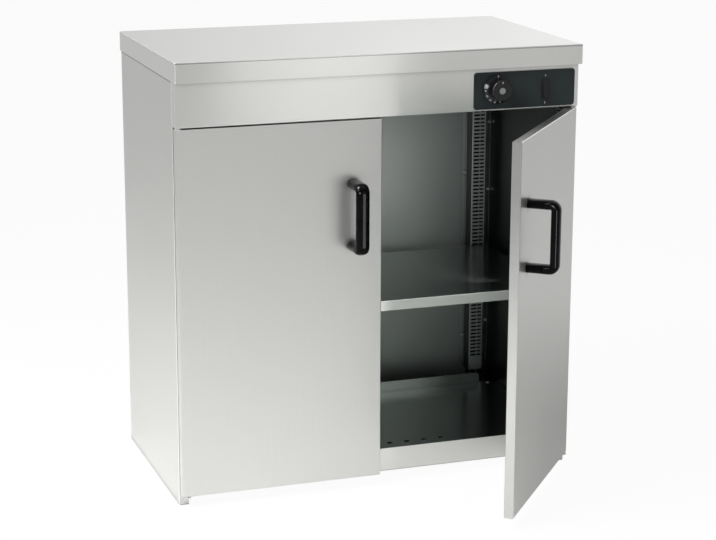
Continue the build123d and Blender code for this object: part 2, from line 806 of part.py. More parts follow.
def rocker():
    """Rocker tilted to off, its upper half pressed in: a shallow V in front, with pins at its middle."""
    half = rocker_height / 2
    crest = bezel_thickness + rocker_crest
    valley = bezel_thickness + rocker_valley
    front = [(-crest, half), (-valley, 0), (-crest, -half)]
    rear = [(rocker_shoulder, -half), (rocker_back, 0), (rocker_shoulder, half)]
    outline = Polyline(*front, *rear, close=True)
    body = extrude(Plane.YZ * make_face(outline), rocker_width / 2, both=True)
    pin_reach = rocker_width / 2 + rocker_side_clearance + rocker_pin_length - rocker_pin_clearance
    body += rod_x(-pin_reach, pin_reach, 0, 0, rocker_pin_diameter)
    return Pos(switch_x, panel_front, switch_z) * Rot(-rocker_tilt, 0, 0) * body


# Doors, each built closed on the right


def door_skin():
    """Outer skin of a door: a pan with a return lip round its back."""
    shell = block(door_inner_edge, door_outer_edge, door_front, liner_front, door_bottom, door_top)
    shell = edge_rounded(shell, Axis.Y, 0, bend_radius)
    left, right = door_inner_edge + door_sheet, door_outer_edge - door_sheet
    low, high = door_bottom + door_sheet, door_top - door_sheet
    lip_front = liner_front - door_sheet
    front_rear = door_front + door_sheet
    shell -= block(left, right, front_rear, lip_front, low, high)
    left, right = door_inner_edge + door_return, door_outer_edge - door_return
    low, high = door_bottom + door_return, door_top - door_return
    shell -= block(left, right, lip_front, liner_front, low, high)
    for z in (door_bottom, door_top - door_sheet):
        shell -= rod_z(pivot_x, pivot_y, z, z + door_sheet, bush_diameter + hole_clearance)
    for z in handle_screw_heights():
        shell -= rod_y(handle_x, door_front, front_rear, z, handle_screw_diameter + hole_clearance)
    return shell


def door_liner():
    """Inner sheet that closes a door's back, with a window for the magnet."""
    left, right = door_inner_edge + liner_inset, door_outer_edge - liner_inset
    low, high = door_bottom + liner_inset, door_top - liner_inset
    sheet = block(left, right, liner_front, door_back, low, high)
    return sheet - magnet_block(liner_front, door_back, hole_clearance)


def magnet_block(y0, y1, margin):
    """The magnet's outline, grown by a margin."""
    left = door_inner_edge + magnet_from_edge - margin
    low = door_bottom + magnet_above_door_bottom - margin
    return block(left, left + magnet_length + 2 * margin, y0, y1, low, low + magnet_height + 2 * margin)


def door_magnet():
    """Magnet that holds the door to the sill."""
    face = carcass_front - magnet_gap
    body = magnet_block(face - magnet_depth, face, 0)
    lip = magnet_block(liner_front - door_sheet, liner_front, 2 * hole_clearance + door_sheet)
    return body + lip


def handle_screw_heights():
    """Heights of a handle's two screws."""
    return [handle_centre_height - handle_spacing / 2, handle_centre_height + handle_spacing / 2]


def handle():
    """Bow handle of one rounded section, with a blind hole in each arm."""
    bar_y = door_front - handle_projection + handle_thickness / 2
    low, high = handle_screw_heights()
    lower_arm = [(handle_x, door_front, low), (handle_x, bar_y, low)]
    upper_arm = [(handle_x, bar_y, high), (handle_x, door_front, high)]
    path = FilletPolyline(*lower_arm, *upper_arm, radius=handle_bend)
    start = Plane(origin=lower_arm[0], x_dir=(1, 0, 0), z_dir=(0, -1, 0))
    section = start * RectangleRounded(handle_width, handle_thickness, handle_section_corner)
    bow = sweep(section, path)
    hole_end = door_front - handle_screw_in_arm
    for z in (low, high):
        bow -= rod_y(handle_x, hole_end, door_front, z, handle_screw_diameter + hole_clearance)
    return bow


def handle_backing():
    """Plate behind the skin that spreads the handle's load."""
    front = door_front + door_sheet
    rear = front + backing_thickness
    half = backing_width / 2
    half_length = handle_spacing / 2 + backing_overrun
    low, high = handle_centre_height - half_length, handle_centre_height + half_length
    plate = block(handle_x - half, handle_x + half, front, rear, low, high)
    for z in handle_screw_heights():
        plate -= rod_y(handle_x, front, rear, z, handle_screw_diameter + hole_clearance)
    return plate


def handle_screws():
    """Screws from inside the door into the handle's arms."""
    seat = door_front + door_sheet + backing_thickness
    screws = []
    for z in handle_screw_heights():
        head = rod_y(handle_x, seat, seat + handle_screw_head_height, z, handle_screw_head)
        shank_end = door_front - handle_screw_in_arm + hole_clearance
        screws.append(head + rod_y(handle_x, shank_end, seat, z, handle_screw_diameter))
    return screws


def bush(seat, inwards):
    """Flanged bush in a door's end. It points into the door, up (1) or down (-1)."""
    low, high = sorted((seat, seat + inwards * bush_length))
    flange_low, flange_high = sorted((seat, seat - inwards * bush_flange_thickness))
    body = rod_z(pivot_x, pivot_y, low, high, bush_diameter)
    body += rod_z(pivot_x, pivot_y, flange_low, flange_high, bush_flange_diameter)
    bore = pin_diameter + 2 * pin_clearance
    return body - rod_z(pivot_x, pivot_y, min(low, flange_low), max(high, flange_high), bore)


def door_bushes():
    """The bushes at a door's lower and upper ends."""
    return [bush(door_bottom, 1), bush(door_top, -1)]


def bracket_outline(z0, z1):
    """Horizontal part of a hinge bracket, from the carcass's front to past the pivot."""
    rear = carcass_front - casing_sheet
    return block(bracket_inner, bracket_outer, pivot_y - bracket_reach, rear, z0, z1)


def lower_hinge_bracket():
    """Angle welded on the front of the foot. The door stands on its plate."""
    low, high = lower_plate_bottom, lower_plate_top
    plate = bracket_outline(low, high)
    front = carcass_front - bracket_plate
    plate += block(bracket_inner, bracket_outer, front, carcass_front, high - lower_bracket_tab, high)
    return plate - rod_z(pivot_x, pivot_y, low, high, pin_diameter + hole_clearance)


def upper_hinge_bracket():
    """Angle inside the fascia, riveted through to the side panel's front flange."""
    low, high = ceiling_bottom, ceiling_bottom + bracket_plate
    plate = bracket_outline(low, high)
    rear = carcass_front - casing_sheet
    front = rear - bracket_plate
    plate += block(bracket_inner, bracket_outer, front, rear, low, low + upper_bracket_tab)
    plate -= rod_z(pivot_x, pivot_y, low, high, pin_diameter + hole_clearance)
    rivet_height = fascia_rivet_heights()[0]
    return plate - rod_y(fascia_rivet_x(), front, rear, rivet_height, rivet_diameter + hole_clearance)


def hinge_pins():
    """Headed pins: two up from the lower brackets, two down from the upper ones."""
    seat = lower_plate_bottom
    lower = rod_z(pivot_x, pivot_y, seat, door_bottom + pin_in_door, pin_diameter)
    lower += rod_z(pivot_x, pivot_y, seat - pin_head_height, seat, pin_head_diameter)
    seat = ceiling_bottom + bracket_plate
    upper = rod_z(pivot_x, pivot_y, door_top - pin_in_door, seat, pin_diameter)
    upper += rod_z(pivot_x, pivot_y, seat, seat + pin_head_height, pin_head_diameter)
    return [lower, upper, mirrored(lower), mirrored(upper)]


# Heating and wiring


def element_places():
    """Y of the element's front and rear runs."""
    return (-element_setback - element_spacing / 2, -element_setback + element_spacing / 2)


def heating_element():
    """Tubular hairpin element on its clips."""
    front, rear = element_places()
    z = base_top + element_height
    right = element_span / 2
    corners = [(right, rear, z), (-right, rear, z), (-right, front, z), (right, front, z)]
    path = FilletPolyline(*corners, radius=element_spacing / 2 - element_straight)
    section = Plane(origin=corners[0], z_dir=(-1, 0, 0)) * Circle(element_diameter / 2)
    return sweep(section, path)


def element_clips():
    """Upright straps with a foot on the base pan, three along each run of the element."""
    clips = []
    centre = base_top + element_height
    top = centre + element_clip_over
    half = element_clip_width / 2
    sheet = element_clip_sheet
    hole = element_diameter + 2 * element_clearance
    for y in element_places():
        for step in (-1, 0, 1):
            x = step * element_clip_pitch
            strap = block(x, x + sheet, y - half, y + half, base_top, top)
            strap += block(x, x + element_clip_foot, y - half, y + half, base_top, base_top + sheet)
            clips.append(strap - rod_x(x, x + sheet, y, centre, hole))
    return clips


def gland_x():
    """The cord comes in near the right rear corner."""
    return side_inner - gland_from_side


def terminal_block():
    """Block on the base pan where the cord and the loom meet."""
    right = loom_x + loom_diameter
    rear = loom_start()
    top = base_top + terminal_height
    body = block(right - terminal_length, right, rear - terminal_depth, rear, base_top, top)
    return chamfer(body.edges().filter_by(Axis.X).group_by(Axis.Z)[-1], terminal_chamfer)


def loom_start():
    """Rear face of the terminal block, in front of the deck's rear rail."""
    return upstand_front - deck_rail_depth - terminal_to_rail


def wiring_loom():
    """Leads from the terminal block up the hollow of the rear right upright to the controls."""
    low = base_top + terminal_height / 2
    high = ceiling_top + loom_above_ceiling
    end_y = panel_front + switch_body_depth
    corners = [
        (loom_x, loom_start(), low),
        (loom_x, run_y, low),
        (loom_x, run_y, high),
        (switch_x, run_y, high),
        (switch_x, end_y, high),
    ]
    path = FilletPolyline(*corners, radius=tube_bend)
    section = Plane(origin=corners[0], z_dir=(0, 1, 0)) * Circle(loom_diameter / 2)
    return sweep(section, path)


def bulb_rear():
    """Where the capillary leaves the sensing bulb, in front of the deck's rear rail."""
    return upstand_front - deck_rail_depth - bulb_to_rail


def capillary():
    """Sensing bulb over the base pan and the thin tube from it up to the thermostat."""
    low = base_top + sensor_height
    high = ceiling_top + capillary_above_ceiling
    corners = [
        (capillary_x, bulb_rear(), low),
        (capillary_x, run_y, low),
        (capillary_x, run_y, high),
        (knob_x, run_y, high),
        (knob_x, fascia_rear + thermostat_depth, high),
    ]
    path = FilletPolyline(*corners, radius=tube_bend)
    section = Plane(origin=corners[0], z_dir=(0, 1, 0)) * Circle(capillary_diameter / 2)
    tube = sweep(section, path)
    return tube + rod_y(capillary_x, bulb_rear() - bulb_length, bulb_rear(), low, bulb_diameter)


def sensor_clip():
    """Strap with a foot on the base pan that holds the bulb."""
    x = capillary_x
    y = bulb_rear() - bulb_length / 2
    low = base_top + sensor_height
    half = element_clip_width / 2
    sheet = element_clip_sheet
    strap = block(x - half, x + half, y, y + sheet, base_top, low + element_clip_over)
    strap += block(x - half, x + half, y, y + element_clip_foot, base_top, base_top + sheet)
    return strap - rod_y(x, y, y + sheet, low, bulb_diameter + 2 * element_clearance)


def cord_gland():
    """Cord gland in the back panel, with a clear bore for the supply cord."""
    x, z = gland_x(), gland_height
    body = rod_y(x, 0, gland_flange_thickness, z, gland_flange_diameter)
    body = edge_rounded(body, Axis.Y, -1, gland_rounding)
    body += rod_y(x, -gland_inside, 0, z, gland_diameter)
    return body - rod_y(x, -gland_inside, gland_flange_thickness, z, gland_bore)


def gland_nut():
    """Hexagon nut that clamps the gland on the back panel."""
    nut = extrude(RegularPolygon(gland_nut_width / 2, 6, major_radius=False), gland_nut_thickness)
    nut -= Cylinder(gland_diameter / 2 + hole_clearance / 2, 2 * gland_nut_thickness)
    return Pos(gland_x(), back_inner, gland_height) * Rot(90, 0, 0) * nut


def carcass_nodes():
    """The casing and what is built into it."""
    nodes = {
        "worktop": worktop(),
        "worktop_screws": worktop_screws(),
        "right_side_panel": side_panel(),
        "left_side_panel": mirrored(side_panel()),
        "back_panel": back_panel(),
        "back_panel_rivets": back_rivets(),
        "ceiling_panel": ceiling_panel(),
        "ceiling_grommet": ceiling_grommet(),
        "front_sill": front_sill(),
        "bottom_deck": bottom_deck(),
        "deck_rear_rail": deck_rear_rail(),
        "deck_screws": deck_screws(),
        "base_pan": base_pan(),
        "rear_right_upright": rear_upright(),
        "rear_left_upright": mirrored(rear_upright()),
        "front_right_upright": front_upright(),
        "front_left_upright": mirrored(front_upright()),
        "upright_nuts": upright_nuts(),
        "shelf": shelf(),
        "shelf_clips": shelf_clips(),
    }
    for name, middle in stiffener_middles().items():
        nodes[name] = stiffener(middle)
    return nodes


def control_nodes():
    """The fascia, the controls, the heating and the wiring."""
    return {
        "fascia": fascia(),
        "fascia_rivets": fascia_rivets(),
        "control_panel": control_panel(),
        "thermostat": thermostat(),
        "thermostat_spindle": spindle(),
        "thermostat_knob": knob(),
        "knob_cap": knob_cap(),
        "switch_housing": switch_housing(),
        "switch_rocker": rocker(),
        "heating_element": heating_element(),
        "element_clips": element_clips(),
        "terminal_block": terminal_block(),
        "wiring_loom": wiring_loom(),
        "thermostat_capillary": capillary(),
        "sensor_clip": sensor_clip(),
        "cord_gland": cord_gland(),
        "gland_nut": gland_nut(),
    }


def door_nodes():
    """Both doors with their hinges: the left one closed, the right one open."""
    pieces = {
        "door_skin": [door_skin()],
        "door_liner": [door_liner()],
        "door_magnet": [door_magnet()],
        "door_handle": [handle()],
        "handle_backing": [handle_backing()],
        "handle_screws": handle_screws(),
        "door_bushes": door_bushes(),
    }
    nodes = {"hinge_pins": hinge_pins()}
    for name, solids in pieces.items():
        nodes["left_" + name] = [mirrored(solid) for solid in solids]
        nodes["right_" + name] = [opened(solid) for solid in solids]
    for name, bracket in (("lower", lower_hinge_bracket()), ("upper", upper_hinge_bracket())):
        nodes["right_" + name + "_hinge_bracket"] = bracket
        nodes["left_" + name + "_hinge_bracket"] = mirrored(bracket)
    return nodes


def write(name, shape):
    """Writes one node. A node of several solids is a compound of them."""
    if isinstance(shape, list):
        shape = shape[0] if len(shape) == 1 else Compound(shape)
    export_step(shape, os.path.join("parts", name + ".step"))


os.makedirs("parts", exist_ok=True)
for nodes in (carcass_nodes(), control_nodes(), door_nodes()):
    for name, shape in nodes.items():
        write(name, shape)
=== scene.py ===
from math import copysign, cos, pi, radians, sin

import bmesh
import bpy
from mathutils import Matrix, Vector


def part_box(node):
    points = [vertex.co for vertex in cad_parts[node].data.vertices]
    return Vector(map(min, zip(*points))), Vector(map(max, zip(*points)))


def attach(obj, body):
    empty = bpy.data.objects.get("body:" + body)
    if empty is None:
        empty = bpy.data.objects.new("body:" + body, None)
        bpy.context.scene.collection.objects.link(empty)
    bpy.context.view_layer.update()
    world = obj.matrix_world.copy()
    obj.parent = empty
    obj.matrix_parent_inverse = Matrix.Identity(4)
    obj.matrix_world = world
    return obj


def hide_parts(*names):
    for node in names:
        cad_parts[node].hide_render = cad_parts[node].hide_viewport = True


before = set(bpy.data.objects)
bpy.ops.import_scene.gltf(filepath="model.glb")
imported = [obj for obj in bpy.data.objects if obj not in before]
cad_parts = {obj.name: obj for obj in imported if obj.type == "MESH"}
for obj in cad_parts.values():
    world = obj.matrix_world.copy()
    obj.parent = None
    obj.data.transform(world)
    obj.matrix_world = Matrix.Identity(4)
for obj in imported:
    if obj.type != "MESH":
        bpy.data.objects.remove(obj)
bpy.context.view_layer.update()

# Plate warmer cabinet of brushed stainless sheet, in metres: materials, bow handles, printed dial
# and marks, weld marks and rivet cores, with a white studio round it. The sheet pieces, the knob
# and all that is inside are the frame's own.

# Places that several sections share

CABINET_MIDDLE = (0.0, -0.215, 0.43)
DOOR_PIVOT = (0.3915, -0.422, 0)  # of the right door; the left door's is its mirror image
DOOR_OPENED = 51  # degrees that the right door stands open, as stored
DOOR_REAR = -0.41  # rear face of a closed door
MIRROR = Matrix.Scale(-1, 4, (1, 0, 0))


# Node trees

MIX_COLOURS = slice(6, 8)  # a Mix node's two colour inputs
MIX_NUMBERS = slice(2, 4)  # and its two number inputs


def add(tree, kind, **settings):
    """A new node of a tree, with its settings."""
    made = tree.nodes.new(kind)
    for name, value in settings.items():
        setattr(made, name, value)
    return made


def put(tree, value, socket):
    """Feeds a socket from another one, or sets it to a plain value."""
    if isinstance(value, bpy.types.NodeSocket):
        tree.links.new(value, socket)
    else:
        socket.default_value = value


def maths(tree, operation, first, second):
    """A Math node. Each input is a socket or a number."""
    made = add(tree, "ShaderNodeMath", operation=operation)
    put(tree, first, made.inputs[0])
    put(tree, second, made.inputs[1])
    return made.outputs[0]


def blended(tree, factor, low, high):
    """A colour between two, by a factor's socket. Each colour is a socket or three numbers."""
    made = add(tree, "ShaderNodeMix", data_type="RGBA")
    tree.links.new(factor, made.inputs["Factor"])
    for socket, value in zip(made.inputs[MIX_COLOURS], (low, high)):
        put(tree, value if isinstance(value, bpy.types.NodeSocket) else (*value, 1), socket)
    return made.outputs[2]


def ranged(tree, value, low, high, from_low=0.0, from_high=1.0):
    """A value moved from one range to another, and held inside it."""
    made = add(tree, "ShaderNodeMapRange", clamp=True)
    tree.links.new(value, made.inputs["Value"])
    made.inputs["From Min"].default_value = from_low
    made.inputs["From Max"].default_value = from_high
    made.inputs["To Min"].default_value = low
    made.inputs["To Max"].default_value = high
    return made.outputs["Result"]


def group(name, inputs, outputs):
    """A shader node group with named sockets. Returns its tree, input node and output node."""
    tree = bpy.data.node_groups.new(name, "ShaderNodeTree")
    for socket_name, kind, value in inputs:
        made = tree.interface.new_socket(name=socket_name, in_out="INPUT", socket_type=kind)
        made.default_value = value
    for socket_name, kind in outputs:
        tree.interface.new_socket(name=socket_name, in_out="OUTPUT", socket_type=kind)
    return tree, add(tree, "NodeGroupInput"), add(tree, "NodeGroupOutput")


def use(tree, node_group, **values):
    """A group placed in a material, with its own values. Underscores in a name stand for spaces."""
    made = add(tree, "ShaderNodeGroup", node_tree=node_group)
    for name, value in values.items():
        put(tree, value, made.inputs[name.replace("_", " ")])
    return made


def noise(tree, place, scale, detail=2.0, roughness=0.5):
    """Noise between 0 and 1 at a place's socket. The scale is a socket or a number."""
    made = add(tree, "ShaderNodeTexNoise")
    put(tree, scale, made.inputs["Scale"])
    made.inputs["Detail"].default_value = detail
    made.inputs["Roughness"].default_value = roughness
    tree.links.new(place, made.inputs["Vector"])
    return made.outputs["Fac"]


def brushing_group():
    """Lines of an abrasive belt: fine and coarse scratches drawn out along an axis, and clouds."""
    tree, given, result = group(
        "belt brushing",
        [
            ("Place", "NodeSocketVector", (0, 0, 0)),
            ("Lines", "NodeSocketVector", (3.0, 900.0, 900.0)),
            ("Cloud Scale", "NodeSocketFloat", 3.0),
        ],
        [(name, "NodeSocketFloat") for name in ("Scratch", "Streak", "Cloud")],
    )
    drawn = add(tree, "ShaderNodeVectorMath", operation="MULTIPLY")
    tree.links.new(given.outputs["Place"], drawn.inputs[0])
    tree.links.new(given.outputs["Lines"], drawn.inputs[1])
    wide = add(tree, "ShaderNodeVectorMath", operation="SCALE")
    wide.inputs["Scale"].default_value = 0.22  # the fewer streaks to a length, the coarser
    tree.links.new(drawn.outputs[0], wide.inputs[0])
    tree.links.new(noise(tree, drawn.outputs[0], 1.0, 3.0, 0.6), result.inputs["Scratch"])
    tree.links.new(noise(tree, wide.outputs[0], 1.0, 2.0, 0.55), result.inputs["Streak"])
    cloud = noise(tree, given.outputs["Place"], given.outputs["Cloud Scale"], 3.0)
    tree.links.new(cloud, result.inputs["Cloud"])
    return tree


def edge_group():
    """A mask of the sheet's folded and cut edges, in patches: worn brighter and smoother, and on
    the brushed sheets the place of a painted highlight.
    """
    tree, given, result = group(
        "rubbed edges",
        [
            ("Place", "NodeSocketVector", (0, 0, 0)),
            ("Width", "NodeSocketFloat", 0.002),
            ("Patchiness", "NodeSocketFloat", 40.0),
        ],
        [("Edge", "NodeSocketFloat")],
    )
    rounded = add(tree, "ShaderNodeBevel", samples=4)
    tree.links.new(given.outputs["Width"], rounded.inputs["Radius"])
    flat = add(tree, "ShaderNodeNewGeometry")
    along = add(tree, "ShaderNodeVectorMath", operation="DOT_PRODUCT")
    tree.links.new(rounded.outputs["Normal"], along.inputs[0])
    tree.links.new(flat.outputs["Normal"], along.inputs[1])
    turned = ranged(tree, along.outputs["Value"], 1.0, 0.0, 0.75, 0.995)
    patches = noise(tree, given.outputs["Place"], given.outputs["Patchiness"])
    kept = ranged(tree, patches, 0.35, 1.0, 0.35, 0.65)
    tree.links.new(maths(tree, "MULTIPLY", turned, kept), result.inputs["Edge"])
    return tree


def dust_group():
    """Fine settled dust on faces that look up."""
    tree, given, result = group(
        "settled dust",
        [
            ("Place", "NodeSocketVector", (0, 0, 0)),
            ("Amount", "NodeSocketFloat", 0.1),
            ("Speck Scale", "NodeSocketFloat", 260.0),
        ],
        [("Dust", "NodeSocketFloat")],
    )
    facing = add(tree, "ShaderNodeNewGeometry")
    split = add(tree, "ShaderNodeSeparateXYZ")
    tree.links.new(facing.outputs["Normal"], split.inputs[0])
    upward = ranged(tree, split.outputs["Z"], 0.0, 1.0, 0.5, 1.0)
    specks = noise(tree, given.outputs["Place"], given.outputs["Speck Scale"], 4.0)
    grains = ranged(tree, specks, 0.2, 1.0, 0.4, 0.7)
    lying = maths(tree, "MULTIPLY", upward, grains)
    tree.links.new(maths(tree, "MULTIPLY", lying, given.outputs["Amount"]), result.inputs["Dust"])
    return tree


def moulding_group():
    """Skin of a moulded plastic piece: fine texture, slow sink marks and faint handling marks."""
    tree, given, result = group(
        "moulded skin",
        [
            ("Place", "NodeSocketVector", (0, 0, 0)),
            ("Texture Scale", "NodeSocketFloat", 1800.0),
            ("Sink Scale", "NodeSocketFloat", 25.0),
        ],
        [(name, "NodeSocketFloat") for name in ("Grain", "Sink", "Handling")],
    )
    for output, scale in (("Grain", "Texture Scale"), ("Sink", "Sink Scale")):
        made = noise(tree, given.outputs["Place"], given.outputs[scale], 1.0)
        tree.links.new(made, result.inputs[output])
    marks = noise(tree, given.outputs["Place"], 90.0, 5.0, 0.7)
    tree.links.new(ranged(tree, marks, 0.0, 1.0, 0.5, 0.72), result.inputs["Handling"])
    return tree


def reverse_group():
    """A mask of the faces that look towards the middle of the cabinet: a sheet's unbrushed side,
    which on the side panels carries painted shade.
    """
    tree, given, result = group(
        "unbrushed side",
        [("Place", "NodeSocketVector", (0, 0, 0)), ("Middle", "NodeSocketVector", (0, 0, 0))],
        [("Inside", "NodeSocketFloat")],
    )
    outwards = add(tree, "ShaderNodeVectorMath", operation="SUBTRACT")
    tree.links.new(given.outputs["Place"], outwards.inputs[0])
    tree.links.new(given.outputs["Middle"], outwards.inputs[1])
    facing = add(tree, "ShaderNodeNewGeometry")
    along = add(tree, "ShaderNodeVectorMath", operation="DOT_PRODUCT")
    tree.links.new(outwards.outputs[0], along.inputs[0])
    tree.links.new(facing.outputs["True Normal"], along.inputs[1])
    inside = ranged(tree, along.outputs["Value"], 1.0, 0.0, -0.01, 0.0)
    tree.links.new(inside, result.inputs["Inside"])
    return tree


def crevice_group():
    """Painted shade in seams, under folds and behind slots: darker where the surface is sheltered.
    """
    tree, given, result = group(
        "grime in seams",
        [("Reach", "NodeSocketFloat", 0.02), ("Amount", "NodeSocketFloat", 0.7)],
        [("Grime", "NodeSocketFloat")],
    )
    shelter = add(tree, "ShaderNodeAmbientOcclusion", samples=6)
    tree.links.new(given.outputs["Reach"], shelter.inputs["Distance"])
    sheltered = ranged(tree, shelter.outputs["AO"], 1.0, 0.0, 0.3, 0.76)
    grime = maths(tree, "MULTIPLY", sheltered, given.outputs["Amount"])
    tree.links.new(grime, result.inputs["Grime"])
    return tree


# Base colours of the sheets
STEEL = (0.72, 0.72, 0.70)
INNER_STEEL = (0.60, 0.62, 0.60)
AS_ROLLED = (0.50, 0.53, 0.51)
# painted shade on the front uprights inside the cabinet
FRONT_UPRIGHT_SHADE = (0.17, 0.185, 0.18)
# painted light and shade: the shelf painted lighter for its lit lip, its top painted darker
SHELF_LIT_STEEL = (0.88, 0.88, 0.86)
SHELF_TOP_SHADE = (0.36, 0.385, 0.37)
SILL_STEEL = (0.77, 0.77, 0.75)
# painted shade on the deck; its upstand keeps the plain inner steel
DECK_SHADE = (0.38, 0.41, 0.39)
DECK_UPSTAND = (0.6, 0.62, 0.6)
# painted light on the end faces of the worktop's lip
LIP_END_LIGHT = (0.93, 0.93, 0.91)
# painted shade on the side walls of the rear uprights
UPRIGHT_FLANK_SHADE = (0.07, 0.078, 0.074)
# painted shade on the side panels' inner faces
SIDE_INNER_SHADE = (0.08, 0.088, 0.085)
BACK_REVERSE = (0.44, 0.465, 0.45)
# painted shade on the back sheet behind the uprights' slots
SHADE_BEHIND_UPRIGHTS = (0.02, 0.02, 0.02)

# Wear and dust, painted highlights along edges and folds, and painted shade in seams, under the
# lip and along edges
# worn edges, and on the brushed sheets a painted highlight along them
EDGE_WEAR_AND_HIGHLIGHT = (0.88, 0.88, 0.87)
PLATED_EDGE_WEAR = (0.85, 0.85, 0.84)
# painted highlight along rounded folds and corners
FOLD_HIGHLIGHT = (1.0, 1.0, 0.98)
UNDER_LIP_SHADE = (0.3, 0.3, 0.295)
LIP_EDGE_SHADE = (0.4, 0.4, 0.39)
SILL_FOOT_SHADE = (0.42, 0.42, 0.41)
FREE_EDGE_SHADE = (0.42, 0.42, 0.415)
# painted shade in seams and under folds
SEAM_SHADE_COLOUR = (0.05, 0.052, 0.05)
STEEL_DUST = (0.7, 0.69, 0.66)
PLASTIC_DUST = (0.55, 0.54, 0.5)

brushing = brushing_group()
unbrushed_side = reverse_group()
rubbed_edges = edge_group()
settled_dust = dust_group()
moulded_skin = moulding_group()
shade_in_seams = crevice_group()


# Materials


def new_material(name):
    """An empty material. Returns it, its tree, its shader and its object coordinates."""
    made = bpy.data.materials.new(name)
    made.use_nodes = True
    tree = made.node_tree
    tree.nodes.clear()
    shader = add(tree, "ShaderNodeBsdfPrincipled")
    output = add(tree, "ShaderNodeOutputMaterial")
    tree.links.new(shader.outputs["BSDF"], output.inputs["Surface"])
    place = add(tree, "ShaderNodeTexCoord").outputs["Object"]
    return made, tree, shader, place


def bumped(tree, shader, height, strength, distance):
    """Feeds a height through a Bump node to a shader's Normal."""
    bump = add(tree, "ShaderNodeBump")
    bump.inputs["Strength"].default_value = strength
    bump.inputs["Distance"].default_value = distance
    tree.links.new(height, bump.inputs["Height"])
    tree.links.new(bump.outputs["Normal"], shader.inputs["Normal"])


def across_grain(tree, grain):
    """The direction in a face across its grain, for a steel's drawn-out reflections."""
    facing = add(tree, "ShaderNodeNewGeometry")
    cross = add(tree, "ShaderNodeVectorMath", operation="CROSS_PRODUCT")
    cross.inputs[0].default_value = grain
    tree.links.new(facing.outputs["Normal"], cross.inputs[1])
    return cross.outputs[0]


def shades(colour, *shares):
    """Lighter and darker shades of a colour, by share."""
    return [tuple(channel * share for channel in colour) for share in shares]


def brushed_steel(
    name, colour, way, roughness, anisotropy, dust=0.0, grime=0.7, reverse=None, bump=0.06
):
    """Stainless sheet, brushed one of the ways below. Its side towards the cabinet's middle may
    have a colour of its own, the reverse."""
    lines, grain = way
    made, tree, shader, place = new_material(name)
    worn = use(tree, rubbed_edges, Place=place).outputs["Edge"]
    belt = use(tree, brushing, Place=place, Lines=lines)
    scratch, streak, cloud = (belt.outputs[n] for n in ("Scratch", "Streak", "Cloud"))

    # scratches, streaks and clouds tint it a little; the reverse, painted shade in seams, worn
    # edges with a painted highlight, and dust lie over them
    dark, shaded, light = shades(colour, 0.97, 0.98, 1.03)
    lined = blended(tree, ranged(tree, scratch, 0.0, 1.0, 0.3, 0.7), dark, light)
    streaked = blended(tree, ranged(tree, streak, 0.0, 0.35, 0.35, 0.75), lined, shaded)
    clouded = blended(tree, ranged(tree, cloud, 0.0, 0.25, 0.4, 0.7), streaked, light)
    inside = use(tree, unbrushed_side, Place=place, Middle=CABINET_MIDDLE).outputs["Inside"]
    two_sided = blended(tree, inside, clouded, reverse or colour)
    in_seam_shade = use(tree, shade_in_seams, Amount=grime).outputs["Grime"]
    seam_shaded = blended(tree, in_seam_shade, two_sided, SEAM_SHADE_COLOUR)
    # edge wear, with a painted highlight along the edges
    rubbed = blended(tree, maths(tree, "MULTIPLY", worn, 0.6), seam_shaded, EDGE_WEAR_AND_HIGHLIGHT)
    lying = use(tree, settled_dust, Place=place, Amount=dust).outputs["Dust"]
    tree.links.new(blended(tree, lying, rubbed, STEEL_DUST), shader.inputs["Base Color"])

    # rougher in scratches and under dust, and smoother along its worn edges
    rough = ranged(tree, scratch, roughness * 0.85, roughness * 1.18, 0.3, 0.7)
    rough = maths(tree, "ADD", rough, ranged(tree, cloud, -0.02, 0.03, 0.35, 0.7))
    rough = maths(tree, "SUBTRACT", rough, maths(tree, "MULTIPLY", worn, 0.08))
    rough = maths(tree, "ADD", rough, maths(tree, "MULTIPLY", lying, 0.3))
    tree.links.new(rough, shader.inputs["Roughness"])
    shader.inputs["Metallic"].default_value = 1.0
    shader.inputs["Anisotropic"].default_value = anisotropy
    tree.links.new(across_grain(tree, grain), shader.inputs["Tangent"])
    bumped(tree, shader, scratch, bump, 0.0002)
    return made


def plain_steel(name, colour, roughness, mottle):
    """Plated, cold-rolled or turned steel: fine spangle, slow tint and rubbed edges."""
    made, tree, shader, place = new_material(name)
    spangle = noise(tree, place, 700.0, 2.0)
    tint = noise(tree, place, 14.0, 3.0)
    (dark,) = shades(colour, 0.84)
    base = blended(tree, ranged(tree, spangle, 0.0, 1.0, 0.3, 0.7), dark, colour)
    base = blended(tree, ranged(tree, tint, 0.0, 0.6, 0.4, 0.7), base, mottle)
    worn = use(tree, rubbed_edges, Place=place, Width=0.0008, Patchiness=160.0).outputs["Edge"]
    base = blended(tree, maths(tree, "MULTIPLY", worn, 0.5), base, PLATED_EDGE_WEAR)
    tree.links.new(base, shader.inputs["Base Color"])
    shader.inputs["Metallic"].default_value = 1.0
    rough = ranged(tree, spangle, roughness * 0.85, roughness * 1.15)
    tree.links.new(rough, shader.inputs["Roughness"])
    bumped(tree, shader, spangle, 0.05, 0.0001)
    return made


